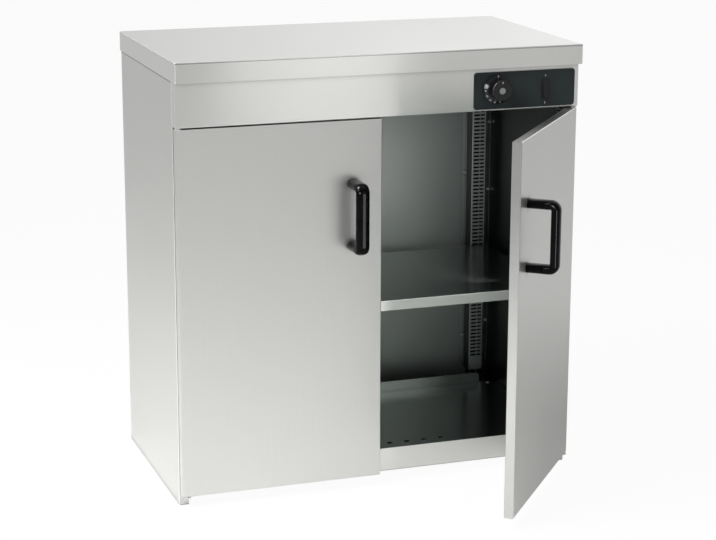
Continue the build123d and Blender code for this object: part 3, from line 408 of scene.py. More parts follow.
def plastic(name, colour, roughness, texture=1800.0, bump=0.04, specular=0.5):
    """Moulded plastic with a fine skin and faint handling marks."""
    made, tree, shader, place = new_material(name)
    skin = use(tree, moulded_skin, Place=place, Texture_Scale=texture)
    grain, sink, handling = (skin.outputs[n] for n in ("Grain", "Sink", "Handling"))
    pale = tuple(channel * 1.25 + 0.002 for channel in colour)
    base = blended(tree, ranged(tree, sink, 0.0, 1.0, 0.35, 0.65), colour, pale)
    lying = use(tree, settled_dust, Place=place, Amount=0.02).outputs["Dust"]
    base = blended(tree, lying, base, PLASTIC_DUST)
    worn = use(tree, rubbed_edges, Place=place, Width=0.0006, Patchiness=120.0).outputs["Edge"]
    polished = tuple(channel * 1.6 + 0.03 for channel in colour)
    base = blended(tree, maths(tree, "MULTIPLY", worn, 0.12), base, polished)
    tree.links.new(base, shader.inputs["Base Color"])
    rough = ranged(tree, grain, roughness * 0.85, roughness * 1.15, 0.3, 0.7)
    rough = maths(tree, "ADD", rough, maths(tree, "MULTIPLY", handling, 0.07))
    rough = maths(tree, "ADD", rough, maths(tree, "MULTIPLY", lying, 0.3))
    tree.links.new(rough, shader.inputs["Roughness"])
    shader.inputs["Specular IOR Level"].default_value = specular
    skin_height = maths(tree, "ADD", grain, maths(tree, "MULTIPLY", sink, 2.0))
    bumped(tree, shader, skin_height, bump, 0.0002)
    return made


def recoloured(finish, mask, colour):
    """Lays another colour over a finish where a mask is 1."""
    tree = finish.node_tree
    socket = tree.nodes["Principled BSDF"].inputs["Base Color"]
    tree.links.new(blended(tree, mask, socket.links[0].from_socket, colour), socket)
    return finish


def grooved(finish, centre, radius, colour):
    """Paints shade on a finish past a radius from an axis that runs front to back, as in the recess
    round a cap.
    """
    tree = finish.node_tree
    place = add(tree, "ShaderNodeTexCoord").outputs["Object"]
    flat = add(tree, "ShaderNodeVectorMath", operation="MULTIPLY")
    flat.inputs[1].default_value = (1, 0, 1)
    tree.links.new(place, flat.inputs[0])
    away = add(tree, "ShaderNodeVectorMath", operation="DISTANCE")
    away.inputs[1].default_value = (centre.x, 0, centre.z)
    tree.links.new(flat.outputs[0], away.inputs[0])
    past = ranged(tree, away.outputs["Value"], 0.0, 1.0, radius - 0.0003, radius + 0.0003)
    return recoloured(finish, past, colour)


def banded(finish, colour, facing, middle=0.0, reach=9.0, axis="Z"):
    """Another colour on the faces that look one way, within a reach of a place along an axis. With
    no reach given, it covers all the faces that look that way."""
    tree = finish.node_tree
    normal = add(tree, "ShaderNodeVectorMath", operation="DOT_PRODUCT")
    normal.inputs[1].default_value = facing
    tree.links.new(add(tree, "ShaderNodeNewGeometry").outputs["True Normal"], normal.inputs[0])
    looks = maths(tree, "GREATER_THAN", normal.outputs["Value"], 0.5)
    along = add(tree, "ShaderNodeSeparateXYZ")
    tree.links.new(add(tree, "ShaderNodeTexCoord").outputs["Object"], along.inputs[0])
    within = add(tree, "ShaderNodeMath", operation="COMPARE")
    tree.links.new(along.outputs[axis], within.inputs[0])
    within.inputs[1].default_value = middle
    within.inputs[2].default_value = reach
    return recoloured(finish, maths(tree, "MULTIPLY", looks, within.outputs[0]), colour)


def dull_free_edge(finish, outward, distance, heights, colour):
    """Paints shade on a door's free edge towards its top, deeper and deeper between two heights.
    The edge lies at a distance along the outward way."""
    tree = finish.node_tree
    place = add(tree, "ShaderNodeTexCoord").outputs["Object"]
    across = add(tree, "ShaderNodeVectorMath", operation="DOT_PRODUCT")
    across.inputs[1].default_value = outward
    tree.links.new(place, across.inputs[0])
    edge = maths(tree, "GREATER_THAN", across.outputs["Value"], distance)
    height = add(tree, "ShaderNodeSeparateXYZ")
    tree.links.new(place, height.inputs[0])
    higher = ranged(tree, height.outputs["Z"], 0.0, 0.85, *heights)
    return recoloured(finish, maths(tree, "MULTIPLY", edge, higher), colour)


def heat_tinted_steel(name):
    """Sheath of a heating element: straw and blue-brown bands over grey steel."""
    made, tree, shader, place = new_material(name)
    grey, straw, blue = (0.10, 0.10, 0.095), (0.13, 0.10, 0.07), (0.07, 0.07, 0.09)
    bands = noise(tree, place, 9.0, 4.0, 0.6)
    warmed = blended(tree, ranged(tree, bands, 0.0, 1.0, 0.35, 0.55), grey, straw)
    tinted = blended(tree, ranged(tree, bands, 0.0, 1.0, 0.55, 0.75), warmed, blue)
    tree.links.new(tinted, shader.inputs["Base Color"])
    shader.inputs["Metallic"].default_value = 1.0
    grit = noise(tree, place, 900.0, 2.0)
    tree.links.new(ranged(tree, grit, 0.7, 0.9, 0.3, 0.7), shader.inputs["Roughness"])
    bumped(tree, shader, grit, 0.1, 0.0002)
    return made


# Ways of brushing: scratches to a metre along x, y and z, and the axis of the grain. The axis
# leans a little, so that it is never square to a face.
UPRIGHT = ((2400.0, 2400.0, 8.0), (0.001, 0.002, 1.0))
LENGTHWISE = ((8.0, 2400.0, 2400.0), (1.0, 0.002, 0.0))
WORKTOP_WAY = ((8.0, 2400.0, 2400.0), (1.0, 0.002, 0.02))
INNER_WAY = ((8.0, 2400.0, 2400.0), (1.0, 0.0, 0.002))

# Narrow bands of painted shade: their place along an axis and how far they reach from it
UNDER_LIP = (0.8107, 0.0013)
LIP_EDGE = (0.8474, 0.0009)
SILL_FOOT = (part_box("front_sill")[0].z + 0.0006, 0.0008)
STRIP_PLACE, STRIP_REACH = 0.3735, 0.0225  # of the back sheet, behind the uprights

# The right door's free edge: the way it looks, its place along that way, and the heights between
# which its painted shade deepens
FREE_EDGE_WAY = (-cos(radians(DOOR_OPENED)), -sin(radians(DOOR_OPENED)), 0)
FREE_EDGE_PLACE = 0.4702
FREE_EDGE_HEIGHTS = (0.28, 0.62)

CAP_RADIUS = 0.006  # where the painted shade round the knob's cap begins
CAP_RING_SHADE = (0.012, 0.013, 0.013)

finishes = {
    "brushed_stainless": brushed_steel(
        "brushed stainless, upright grain", STEEL, UPRIGHT, roughness=0.34, anisotropy=0.6
    ),
    "inner_stainless": brushed_steel(
        "half bright stainless", INNER_STEEL, INNER_WAY, roughness=0.25, anisotropy=0.8, dust=0.05
    ),
    "plated_steel": plain_steel(
        "zinc plated steel", (0.72, 0.73, 0.73), roughness=0.36, mottle=(0.68, 0.7, 0.71)
    ),
    "black_gloss_plastic": plastic(
        "gloss black plastic", (0.0015, 0.0018, 0.002), roughness=0.09, bump=0.01, specular=0.07
    ),
    "panel_black": plastic(
        "satin panel foil", (0.014, 0.021, 0.023), 0.4, texture=2600.0, bump=0.05, specular=0.3
    ),
    "black_plastic": plastic(
        "black plastic", (0.010, 0.010, 0.011), roughness=0.3, specular=0.3
    ),
    "grey_plastic": plastic("light grey plastic", (0.22, 0.235, 0.24), roughness=0.35),
    "white_nylon": plastic("natural nylon", (0.78, 0.77, 0.72), roughness=0.42, specular=0.4),
    "black_rubber": plastic(
        "black rubber", (0.02, 0.02, 0.02), roughness=0.62, texture=900.0, bump=0.1
    ),
    "magnet_black": plastic(
        "magnet casing", (0.03, 0.03, 0.032), roughness=0.5, texture=1200.0, bump=0.08
    ),
    "element_steel": heat_tinted_steel("heat tinted sheath"),
    "fastener_steel": plain_steel(
        "bright fastener steel", (0.68, 0.68, 0.67), roughness=0.28, mottle=(0.6, 0.6, 0.6)
    ),
}

# Pieces that differ from their slot's finish. The lengthwise steels are smooth and stretch their
# reflections; the inner sheets are rough and dull, with deeper painted shade in their seams.
SMOOTH = {"roughness": 0.2, "anisotropy": 1.0, "dust": 0.02}
ROLLED = {"roughness": 0.4, "anisotropy": 0.5, "grime": 0.9}
lengthwise_steel = brushed_steel(
    "brushed stainless, lengthwise grain", STEEL, LENGTHWISE, **SMOOTH
)
worktop_steel = brushed_steel("brushed stainless, worktop", STEEL, WORKTOP_WAY, **SMOOTH)
shelf_steel = brushed_steel("brushed stainless, shelf", SHELF_LIT_STEEL, LENGTHWISE, **SMOOTH)
sill_steel = brushed_steel("brushed stainless, sill", SILL_STEEL, LENGTHWISE, **SMOOTH)
upright_steel = brushed_steel("stainless upright", AS_ROLLED, UPRIGHT, **ROLLED)
rolled_steel = brushed_steel("stainless as rolled", AS_ROLLED, UPRIGHT, **ROLLED)
deck_steel = brushed_steel(
    "stainless deck",
    DECK_SHADE,
    INNER_WAY,
    roughness=0.2,
    anisotropy=0.0,
    dust=0.05,
    grime=0.8,
    bump=0.0,
)
# its inner faces carry painted shade
side_sheet = brushed_steel(
    "brushed stainless, sides",
    STEEL,
    UPRIGHT,
    roughness=0.34,
    anisotropy=0.6,
    reverse=SIDE_INNER_SHADE,
)
back_sheet = brushed_steel(
    "stainless back sheet",
    STEEL,
    UPRIGHT,
    roughness=0.42,
    anisotropy=0.3,
    grime=0.2,
    reverse=BACK_REVERSE,
)
opened_door_sheet = brushed_steel(
    "brushed stainless, right door", STEEL, UPRIGHT, roughness=0.34, anisotropy=0.6
)
# the front uprights, painted dark: painted shade
shaded_upright_steel = brushed_steel("dull steel", FRONT_UPRIGHT_SHADE, UPRIGHT, roughness=0.34, anisotropy=0.2)

# A corner's way has the same share along two axes. A face square to one of them stays under the
# 0.5 that a band asks for, and the rounded corner between them passes it.
FRONT, UP, CORNER = (0, -1, 0), (0, 0, 1), 0.43
# Bands of painted light and shade: light on the worktop's end faces, highlights along the folds,
# shade under the lip, on the uprights' side walls and behind the uprights
for side in (-1, 1):
    banded(worktop_steel, LIP_END_LIGHT, (side, 0, 0))
    banded(worktop_steel, FOLD_HIGHLIGHT, (side * CORNER, 0, CORNER))
    banded(worktop_steel, FOLD_HIGHLIGHT, (side * CORNER, -CORNER, 0))
    banded(side_sheet, UNDER_LIP_SHADE, (side, 0, 0), *UNDER_LIP)
    banded(side_sheet, FOLD_HIGHLIGHT, (side * CORNER, -CORNER, 0))
    banded(upright_steel, UPRIGHT_FLANK_SHADE, (side, 0, 0))
    banded(back_sheet, SHADE_BEHIND_UPRIGHTS, FRONT, side * STRIP_PLACE, STRIP_REACH, "X")
# painted shade along the lip's top edge, on the shelf's top and along the sill's foot; the deck's
# front faces keep the plain inner steel
banded(worktop_steel, LIP_EDGE_SHADE, FRONT, *LIP_EDGE)
banded(shelf_steel, SHELF_TOP_SHADE, UP)
banded(sill_steel, SILL_FOOT_SHADE, FRONT, *SILL_FOOT)
banded(deck_steel, DECK_UPSTAND, FRONT)
# painted shade on the right door's free edge, deeper towards the top
dull_free_edge(
    opened_door_sheet, FREE_EDGE_WAY, FREE_EDGE_PLACE, FREE_EDGE_HEIGHTS, FREE_EDGE_SHADE
)

cap_low, cap_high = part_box("knob_cap")
grey_cap = plastic("grey cap", (0.25, 0.265, 0.27), roughness=0.3)
# painted shade in a ring round the cap, as in the recess round it
ring_shaded_cap = grooved(grey_cap, (cap_low + cap_high) / 2, CAP_RADIUS, CAP_RING_SHADE)
glossy_knob = plastic(
    "gloss black knob", (0.004, 0.004, 0.005), roughness=0.1, bump=0.015, specular=0.45
)
white_print = plastic(
    "white print", (0.72, 0.73, 0.72), roughness=0.4, texture=3000.0, bump=0.02, specular=0.3
)

FINISH_OF_ITS_OWN = {
    "worktop": worktop_steel,
    "left_side_panel": side_sheet,
    "right_side_panel": side_sheet,
    "fascia": lengthwise_steel,
    "shelf": shelf_steel,
    "bottom_deck": deck_steel,
    "front_sill": sill_steel,
    "right_door_skin": opened_door_sheet,
    "left_door_liner": rolled_steel,
    "right_door_liner": rolled_steel,
    "ceiling_panel": rolled_steel,
    "rear_left_upright": upright_steel,
    "rear_right_upright": upright_steel,
    "back_panel": back_sheet,
    "front_left_upright": shaded_upright_steel,
    "front_right_upright": shaded_upright_steel,
    "thermostat_knob": glossy_knob,
    "knob_cap": ring_shaded_cap,
}


def dress_frame():
    """Gives every piece of the frame its slot's finish."""
    for name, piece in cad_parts.items():
        for slot in piece.material_slots:
            slot_name = slot.material.name.split(".")[0]
            slot.material = FINISH_OF_ITS_OWN.get(name) or finishes[slot_name]


dress_frame()


# Pieces of a body


def new_piece(name, mesh, body, slot, finish=None):
    """A finished piece on a body, at the origin, with its slot and finish."""
    piece = bpy.data.objects.new(name, mesh)
    bpy.context.scene.collection.objects.link(piece)
    mesh.materials.clear()
    mesh.materials.append(finish or finishes[slot])
    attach(piece, body)
    return piece


def joined(name, parts):
    """One mesh of several, each moved by its matrix."""
    made = bmesh.new()
    for mesh, place in parts:
        mesh.transform(place)
        made.from_mesh(mesh)
    bmesh.ops.remove_doubles(made, verts=made.verts, dist=1e-7)
    bmesh.ops.recalc_face_normals(made, faces=made.faces)
    mesh = bpy.data.meshes.new(name)
    made.to_mesh(mesh)
    made.free()
    return mesh


def hang(degrees):
    """The matrix that opens the closed right door about its hinge."""
    pivot = Matrix.Translation(DOOR_PIVOT)
    return pivot @ Matrix.Rotation(radians(degrees), 4, "Z") @ pivot.inverted()


# Bow handles

HANDLE_THICKNESS = 0.0175
HANDLE_BEND = 0.0095  # radius of the middle line at the two corners
HANDLE_CROWN = 2.45  # power of the oval: 2 is an ellipse, more is squarer
SECTION_SIDES = 40
BEND_STEPS = 14


def oval_section(width):
    """Points across and along the depth of the crowned oval section."""
    points = []
    for step in range(SECTION_SIDES):
        turn = 2 * pi * step / SECTION_SIDES
        across, deep = cos(turn), sin(turn)
        x = copysign(abs(across) ** (2 / HANDLE_CROWN), across) * width / 2
        depth = copysign(abs(deep) ** (2 / HANDLE_CROWN), deep) * HANDLE_THICKNESS / 2
        points.append((x, depth))
    return points


def bow_stations(low, high):
    """Places along the bow's middle line, with the way in degrees that its outer side faces."""
    bar_y = low.y + HANDLE_THICKNESS / 2
    lower, upper = low.z + HANDLE_THICKNESS / 2, high.z - HANDLE_THICKNESS / 2
    stations = [(high.y, lower, 270)]
    for centre_z, first in ((lower + HANDLE_BEND, 270), (upper - HANDLE_BEND, 180)):
        for step in range(BEND_STEPS + 1):
            way = first - 90 * step / BEND_STEPS
            y = bar_y + HANDLE_BEND * (1 + cos(radians(way)))
            stations.append((y, centre_z + HANDLE_BEND * sin(radians(way)), way))
    return stations + [(high.y, upper, 90)]


def bow_mesh(low, high):
    """A handle of one oval section swept along its bow, with flat ends on the door."""
    middle = (low.x + high.x) / 2
    section = oval_section(high.x - low.x)
    made = bmesh.new()
    rings = []
    for y, z, way in bow_stations(low, high):
        out_y, out_z = cos(radians(way)), sin(radians(way))
        places = [(middle + x, y + deep * out_y, z + deep * out_z) for x, deep in section]
        rings.append([made.verts.new(place) for place in places])
    for ring_a, ring_b in zip(rings, rings[1:]):
        for i in range(SECTION_SIDES):
            j = (i + 1) % SECTION_SIDES
            made.faces.new((ring_a[i], ring_a[j], ring_b[j], ring_b[i])).smooth = True
    made.faces.new(rings[0])
    made.faces.new(rings[-1])
    bmesh.ops.recalc_face_normals(made, faces=made.faces)
    mesh = bpy.data.meshes.new("bow")
    made.to_mesh(mesh)
    made.free()
    return mesh


def bow_handles():
    """Handles of both doors. The left door hangs closed, the right one opened."""
    low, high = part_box("left_door_handle")
    for side, turn in (("left", Matrix()), ("right", hang(DOOR_OPENED) @ MIRROR)):
        mesh = joined("bow_" + side, [(bow_mesh(low, high), turn)])
        handle = new_piece(side + "_bow_handle", mesh, side + "_door", "black_gloss_plastic")
        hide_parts(side + "_door_handle")


bow_handles()


# Printed dial and marks

PRINT_THICKNESS = 0.00008

# The dial's figures: degrees of heat, height, distance from the knob's axis, and where the first
# stands and how far apart they are in degrees round the dial
DIAL_DEGREES = range(30, 120, 10)
FIGURE_SIZE = 0.0042
FIGURE_RADIUS = 0.0248
FIRST_AT, APART = 160, 24.2
OFF_MARK = (0.0012, 0.0040)
POINTER = (0.0012, 0.0038)
POINTER_RISE = 0.0158  # of its middle over the knob's axis

# The switch's marks: the nought's size, the stroke, and their distances from the switch's middle
NOUGHT_SIZE = 0.0056
STROKE = (0.0009, 0.0042)
NOUGHT_RISE, STROKE_DROP = 0.0262, 0.0252


def printed(words, size):
    """A mesh of printed figures in its own XY plane, centred and facing +Z."""
    curve = bpy.data.curves.new("figures", "FONT")
    curve.body = words
    curve.size = size
    curve.extrude = PRINT_THICKNESS / 2
    curve.resolution_u = 3
    curve.align_x, curve.align_y = "CENTER", "CENTER"
    holder = bpy.data.objects.new("figures", curve)
    bpy.context.scene.collection.objects.link(holder)
    depsgraph = bpy.context.evaluated_depsgraph_get()
    mesh = bpy.data.meshes.new_from_object(holder.evaluated_get(depsgraph))
    bpy.data.objects.remove(holder)
    return mesh


def bar(width, height):
    """A mesh of a short printed bar, centred and facing +Z."""
    made = bmesh.new()
    bmesh.ops.create_cube(made, size=1.0)
    bmesh.ops.scale(made, vec=(width, height, PRINT_THICKNESS), verts=made.verts)
    mesh = bpy.data.meshes.new("bar")
    made.to_mesh(mesh)
    made.free()
    return mesh


def facing(place, normal, up):
    """The matrix that lays a flat piece on a face at a place."""
    normal, up = Vector(normal).normalized(), Vector(up).normalized()
    right = up.cross(normal)
    turn = Matrix((right, up, normal)).transposed().to_4x4()
    return Matrix.Translation(place) @ turn


KNOB_LOW, KNOB_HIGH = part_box("thermostat_knob")
KNOB_MIDDLE = (KNOB_LOW + KNOB_HIGH) / 2
SKIRT_RADIUS = (KNOB_HIGH.x - KNOB_LOW.x) / 2
SKIRT_EDGE = KNOB_HIGH.y - 0.0015  # front of the skirt's rim
SLOPE_RUN, SLOPE_RISE = 0.0065, 0.0035  # the skirt's slope from its rim to the drum


def on_skirt(degrees, radius):
    """The matrix of a figure on the skirt's slope. Degrees run anticlockwise from the right."""
    outwards = Vector((cos(radians(degrees)), 0, sin(radians(degrees))))
    back = Vector((0, 1, 0))
    rise = (SKIRT_RADIUS - radius) / SLOPE_RUN * SLOPE_RISE
    place = Vector((KNOB_MIDDLE.x, SKIRT_EDGE - rise, KNOB_MIDDLE.z)) + outwards * radius
    normal = outwards * SLOPE_RISE - back * SLOPE_RUN
    return facing(place, normal, outwards * SLOPE_RUN + back * SLOPE_RISE)


def dial_figures():
    """Degrees from 30 to 110 round the skirt, with a mark for off and a pointer on the drum."""
    parts = []
    for step, degrees in enumerate(DIAL_DEGREES):
        place = on_skirt(FIRST_AT + APART * step, FIGURE_RADIUS)
        parts.append((printed(str(degrees), FIGURE_SIZE), place))
    parts.append((bar(*OFF_MARK), on_skirt(90, FIGURE_RADIUS)))
    front = Vector((KNOB_MIDDLE.x, KNOB_LOW.y, KNOB_MIDDLE.z + POINTER_RISE))
    parts.append((bar(*POINTER), facing(front, FRONT, UP)))
    new_piece("dial_figures", joined("dial_figures", parts), "knob", "grey_plastic", white_print)


def switch_marks():
    """A nought over the switch and a stroke under it."""
    low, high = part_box("switch_housing")
    panel_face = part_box("control_panel")[0].y
    x, z = (low.x + high.x) / 2, (low.z + high.z) / 2
    above = facing((x, panel_face, z + NOUGHT_RISE), FRONT, UP)
    below = facing((x, panel_face, z - STROKE_DROP), FRONT, UP)
    parts = [(printed("0", NOUGHT_SIZE), above), (bar(*STROKE), below)]
    new_piece("switch_marks", joined("switch_marks", parts), "cabinet", "grey_plastic", white_print)


dial_figures()
switch_marks()


# Small things in rows, grown on points by node trees


def growing_tree(name, sizes, shape):
    """A node tree that sets one shape on each point of a mesh, turned to the point's facing."""
    tree = bpy.data.node_groups.new(name, "GeometryNodeTree")
    new_socket = tree.interface.new_socket
    new_socket(name="Points", in_out="INPUT", socket_type="NodeSocketGeometry")
    for size_name, value in sizes.items():
        made = new_socket(name=size_name, in_out="INPUT", socket_type="NodeSocketFloat")
        made.default_value = value
    new_socket(name="Finish", in_out="INPUT", socket_type="NodeSocketMaterial")
    new_socket(name="Pieces", in_out="OUTPUT", socket_type="NodeSocketGeometry")
    given, result = add(tree, "NodeGroupInput"), add(tree, "NodeGroupOutput")
    turn = add(tree, "FunctionNodeAlignRotationToVector", axis="Z")
    attribute = add(tree, "GeometryNodeInputNamedAttribute", data_type="FLOAT_VECTOR")
    attribute.inputs["Name"].default_value = "facing"
    tree.links.new(attribute.outputs["Attribute"], turn.inputs["Vector"])
    spread = add(tree, "GeometryNodeInstanceOnPoints")
    tree.links.new(given.outputs["Points"], spread.inputs["Points"])
    tree.links.new(shape(tree, given), spread.inputs["Instance"])
    tree.links.new(turn.outputs["Rotation"], spread.inputs["Rotation"])
    real = add(tree, "GeometryNodeRealizeInstances")
    tree.links.new(spread.outputs["Instances"], real.inputs["Geometry"])
    coat = add(tree, "GeometryNodeSetMaterial")
    tree.links.new(real.outputs["Geometry"], coat.inputs["Geometry"])
    tree.links.new(given.outputs["Finish"], coat.inputs["Material"])
    tree.links.new(coat.outputs["Geometry"], result.inputs["Pieces"])
    return tree


def disc(tree, width, top_share, height, sides):
    """A low disc that narrows to its top, standing on its point."""
    made = add(tree, "GeometryNodeMeshCone")
    made.inputs["Vertices"].default_value = sides
    radius = maths(tree, "MULTIPLY", width, 0.5)
    tree.links.new(radius, made.inputs["Radius Bottom"])
    tree.links.new(maths(tree, "MULTIPLY", radius, top_share), made.inputs["Radius Top"])
    tree.links.new(height, made.inputs["Depth"])
    return made.outputs["Mesh"]


def ring(tree, width, wire, wire_sides, sides=20):
    """A round wire ring that lies round its point."""
    path = add(tree, "GeometryNodeCurvePrimitiveCircle")
    path.inputs["Resolution"].default_value = sides
    tree.links.new(maths(tree, "MULTIPLY", width, 0.5), path.inputs["Radius"])
    profile = add(tree, "GeometryNodeCurvePrimitiveCircle")
    profile.inputs["Resolution"].default_value = wire_sides
    tree.links.new(maths(tree, "MULTIPLY", wire, 0.5), profile.inputs["Radius"])
    made = add(tree, "GeometryNodeCurveToMesh")
    tree.links.new(path.outputs["Curve"], made.inputs["Curve"])
    tree.links.new(profile.outputs["Curve"], made.inputs["Profile Curve"])
    return made.outputs["Mesh"]


def weld_mark(tree, given):
    """The shallow ringed print of a spot weld."""
    join = add(tree, "GeometryNodeJoinGeometry")
    rim = ring(tree, given.outputs["Width"], given.outputs["Rim"], 6)
    tree.links.new(rim, join.inputs[0])
    middle = maths(tree, "MULTIPLY", given.outputs["Width"], 0.55)
    tree.links.new(disc(tree, middle, 0.8, given.outputs["Rim"], 16), join.inputs[0])
    return join.outputs[0]


def rivet_core(tree, given):
    """The broken core of a blind rivet, inside the rolled rim of its head."""
    join = add(tree, "GeometryNodeJoinGeometry")
    rim = ring(tree, given.outputs["Rim Width"], given.outputs["Rim"], 8)
    tree.links.new(rim, join.inputs[0])
    core = disc(tree, given.outputs["Core Width"], 0.7, given.outputs["Core Height"], 12)
    tree.links.new(core, join.inputs[0])
    return join.outputs[0]


WELD_SIZES = {"Width": 0.0052, "Rim": 0.00022}
RIVET_SIZES = {"Rim Width": 0.003, "Rim": 0.0005, "Core Width": 0.0022, "Core Height": 0.0009}
weld_marks = growing_tree("spot weld marks", WELD_SIZES, weld_mark)
rivet_cores = growing_tree("rivet cores", RIVET_SIZES, rivet_core)


def grow(name, tree, places, body, slot):
    """One plain mesh, on a body, of what a tree sets on places, each a point and a facing."""
    points = bpy.data.meshes.new(name + "_points")
    points.from_pydata([place for place, _ in places], [], [])
    turned = points.attributes.new("facing", "FLOAT_VECTOR", "POINT")
    turned.data.foreach_set("vector", [value for _, way in places for value in way])
    holder = bpy.data.objects.new(name + "_points", points)
    bpy.context.scene.collection.objects.link(holder)
    modifier = holder.modifiers.new(tree.name, "NODES")
    modifier.node_group = tree
    modifier[tree.interface.items_tree["Finish"].identifier] = finishes[slot]
    depsgraph = bpy.context.evaluated_depsgraph_get()
    mesh = bpy.data.meshes.new_from_object(holder.evaluated_get(depsgraph))
    bpy.data.objects.remove(holder)
    return new_piece(name, mesh, body, slot)


def row(first, last, count, way):
    """Places spread evenly from one point to another, all with one facing."""
    first, last = Vector(first), Vector(last)
    return [(first.lerp(last, i / (count - 1)), way) for i in range(count)]


# The seam of the right door's liner, closed: its corners in x and z, and the marks along each side
SEAM_LEFT, SEAM_RIGHT, SEAM_LOW, SEAM_HIGH = 0.0115, 0.3875, 0.034, 0.715
MARKS_ACROSS, MARKS_UP = 6, 10

# Marks up an upright's flanges: how many, and how far in from a flange's edge, side and ends
FLANGE_MARKS = 7
FLANGE_INSET, FLANGE_FACE, FLANGE_END = 0.005, 0.0012, 0.02

# Rivets up each edge of the back: how many, how far out they stand, and their heads
RIVETS_UP, RIVET_X, RIVET_HEAD_RADIUS = 6, 0.394, 0.004


def door_weld_marks(door, turn):
    """Marks round a door's liner. The turn takes the closed right door to where this one hangs."""
    corners = [
        (SEAM_LEFT, SEAM_LOW),
        (SEAM_RIGHT, SEAM_LOW),
        (SEAM_RIGHT, SEAM_HIGH),
        (SEAM_LEFT, SEAM_HIGH),
    ]
    counts = (MARKS_ACROSS, MARKS_UP, MARKS_ACROSS, MARKS_UP)
    places = []
    for (x0, z0), (x1, z1), count in zip(corners, corners[1:] + corners[:1], counts):
        places += row((x0, DOOR_REAR, z0), (x1, DOOR_REAR, z1), count, (0, 1, 0))[:-1]
    moved = [(turn @ place, turn.to_3x3() @ Vector(way)) for place, way in places]
    grow(door + "_weld_marks", weld_marks, moved, door, "inner_stainless")


def carcass_weld_marks():
    """Marks up the flanges of both front uprights, on their inner faces."""
    low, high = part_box("front_right_upright")
    foot, head = low.z + FLANGE_END, high.z - FLANGE_END
    places = []
    for side in (-1, 1):
        x = side * (high.x - FLANGE_FACE)
        for y in (low.y + FLANGE_INSET, high.y - FLANGE_INSET):
            places += row((x, y, foot), (x, y, head), FLANGE_MARKS, (-side, 0, 0))
    grow("carcass_weld_marks", weld_marks, places, "cabinet", "inner_stainless")


def back_rivet_cores():
    """Cores in the rivets up both edges of the back."""
    low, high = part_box("back_panel_rivets")
    foot, head = low.z + RIVET_HEAD_RADIUS, high.z - RIVET_HEAD_RADIUS
    places = []
    for x in (-RIVET_X, RIVET_X):
        places += row((x, high.y, foot), (x, high.y, head), RIVETS_UP, (0, 1, 0))
    grow("back_rivet_cores", rivet_cores, places, "cabinet", "fastener_steel")


door_weld_marks("right_door", hang(DOOR_OPENED))
door_weld_marks("left_door", MIRROR)
carcass_weld_marks()
back_rivet_cores()


# Studio

FLOOR_REACH = 40.0
FLOOR_CORNERS = ((-1, -1), (1, -1), (1, 1), (-1, 1))
FLOOR_PAINT = (0.93, 0.93, 0.92, 1)
FLOOR_SEEN, FLOOR_MIRRORED = 0.95, 0.45  # how much of its glow the camera and a gloss see
GLOSS_SHADOW_PLACE, GLOSS_SHADOW_DEPTH = (0.7, -0.25, 0), 0.5  # where a gloss sees a painted shadow on it, and how deep
GLOSS_SHADOW_DISTANCES = (0.15, 1.0)  # from that place: the painted shadow is full up to the first, and gone past the second
SURROUND_FILL = 0.25  # strength of the surround as a light
SURROUND_GLOSS = 0.4  # the least that a gloss sees of it

# Which pieces have glints and how strong, and each handle's streak: its lamp's place and power
GLINTS = {
    "grip": (("left_bow_handle", "right_bow_handle"), 5.0),
    "panel": (("knob_cap", "switch_rocker", "thermostat_knob"), 1.0),
}
STREAKS = {
    "left_bow_handle": ((0.36, -1.6, 0.3), 6.5),
    "right_bow_handle": ((0.2, -1.92, 0.3), 13),
}


def floor_material():
    """White floor: it shows white itself, dims softly in the cabinet's shadow, and a gloss sees a
    painted shadow on it at the cabinet's right side."""
    made = bpy.data.materials.new("studio floor")
    made.use_nodes = True
    tree = made.node_tree
    tree.nodes.clear()
    paint = add(tree, "ShaderNodeBsdfDiffuse")
    paint.inputs["Color"].default_value = FLOOR_PAINT
    glow = add(tree, "ShaderNodeEmission")
    path = add(tree, "ShaderNodeLightPath")
    seen = maths(tree, "MULTIPLY", path.outputs["Is Camera Ray"], FLOOR_SEEN)
    glossy, through = path.outputs["Is Glossy Ray"], path.outputs["Is Transmission Ray"]
    mirrored = maths(tree, "MULTIPLY", maths(tree, "MAXIMUM", glossy, through), FLOOR_MIRRORED)
    beside = add(tree, "ShaderNodeVectorMath", operation="DISTANCE")
    tree.links.new(add(tree, "ShaderNodeTexCoord").outputs["Object"], beside.inputs[0])
    beside.inputs[1].default_value = GLOSS_SHADOW_PLACE
    gloss_shadow = ranged(tree, beside.outputs["Value"], GLOSS_SHADOW_DEPTH, 0.0, *GLOSS_SHADOW_DISTANCES)
    gloss_shadow = maths(tree, "MULTIPLY", gloss_shadow, glossy)
    tree.links.new(maths(tree, "SUBTRACT", 1.0, gloss_shadow), glow.inputs["Strength"])
    mix = add(tree, "ShaderNodeMixShader")
    tree.links.new(maths(tree, "MAXIMUM", seen, mirrored), mix.inputs["Fac"])
    tree.links.new(paint.outputs[0], mix.inputs[1])
    tree.links.new(glow.outputs[0], mix.inputs[2])
    tree.links.new(mix.outputs[0], add(tree, "ShaderNodeOutputMaterial").inputs["Surface"])
    return made


def studio_floor():
    """A plain pale floor under the cabinet."""
    mesh = bpy.data.meshes.new("studio_floor")
    corners = [(x * FLOOR_REACH, y * FLOOR_REACH, 0) for x, y in FLOOR_CORNERS]
    mesh.from_pydata(corners, [], [(0, 1, 2, 3)])
    floor = bpy.data.objects.new("studio_floor", mesh)
    floor.data.materials.append(floor_material())
    bpy.context.scene.collection.objects.link(floor)


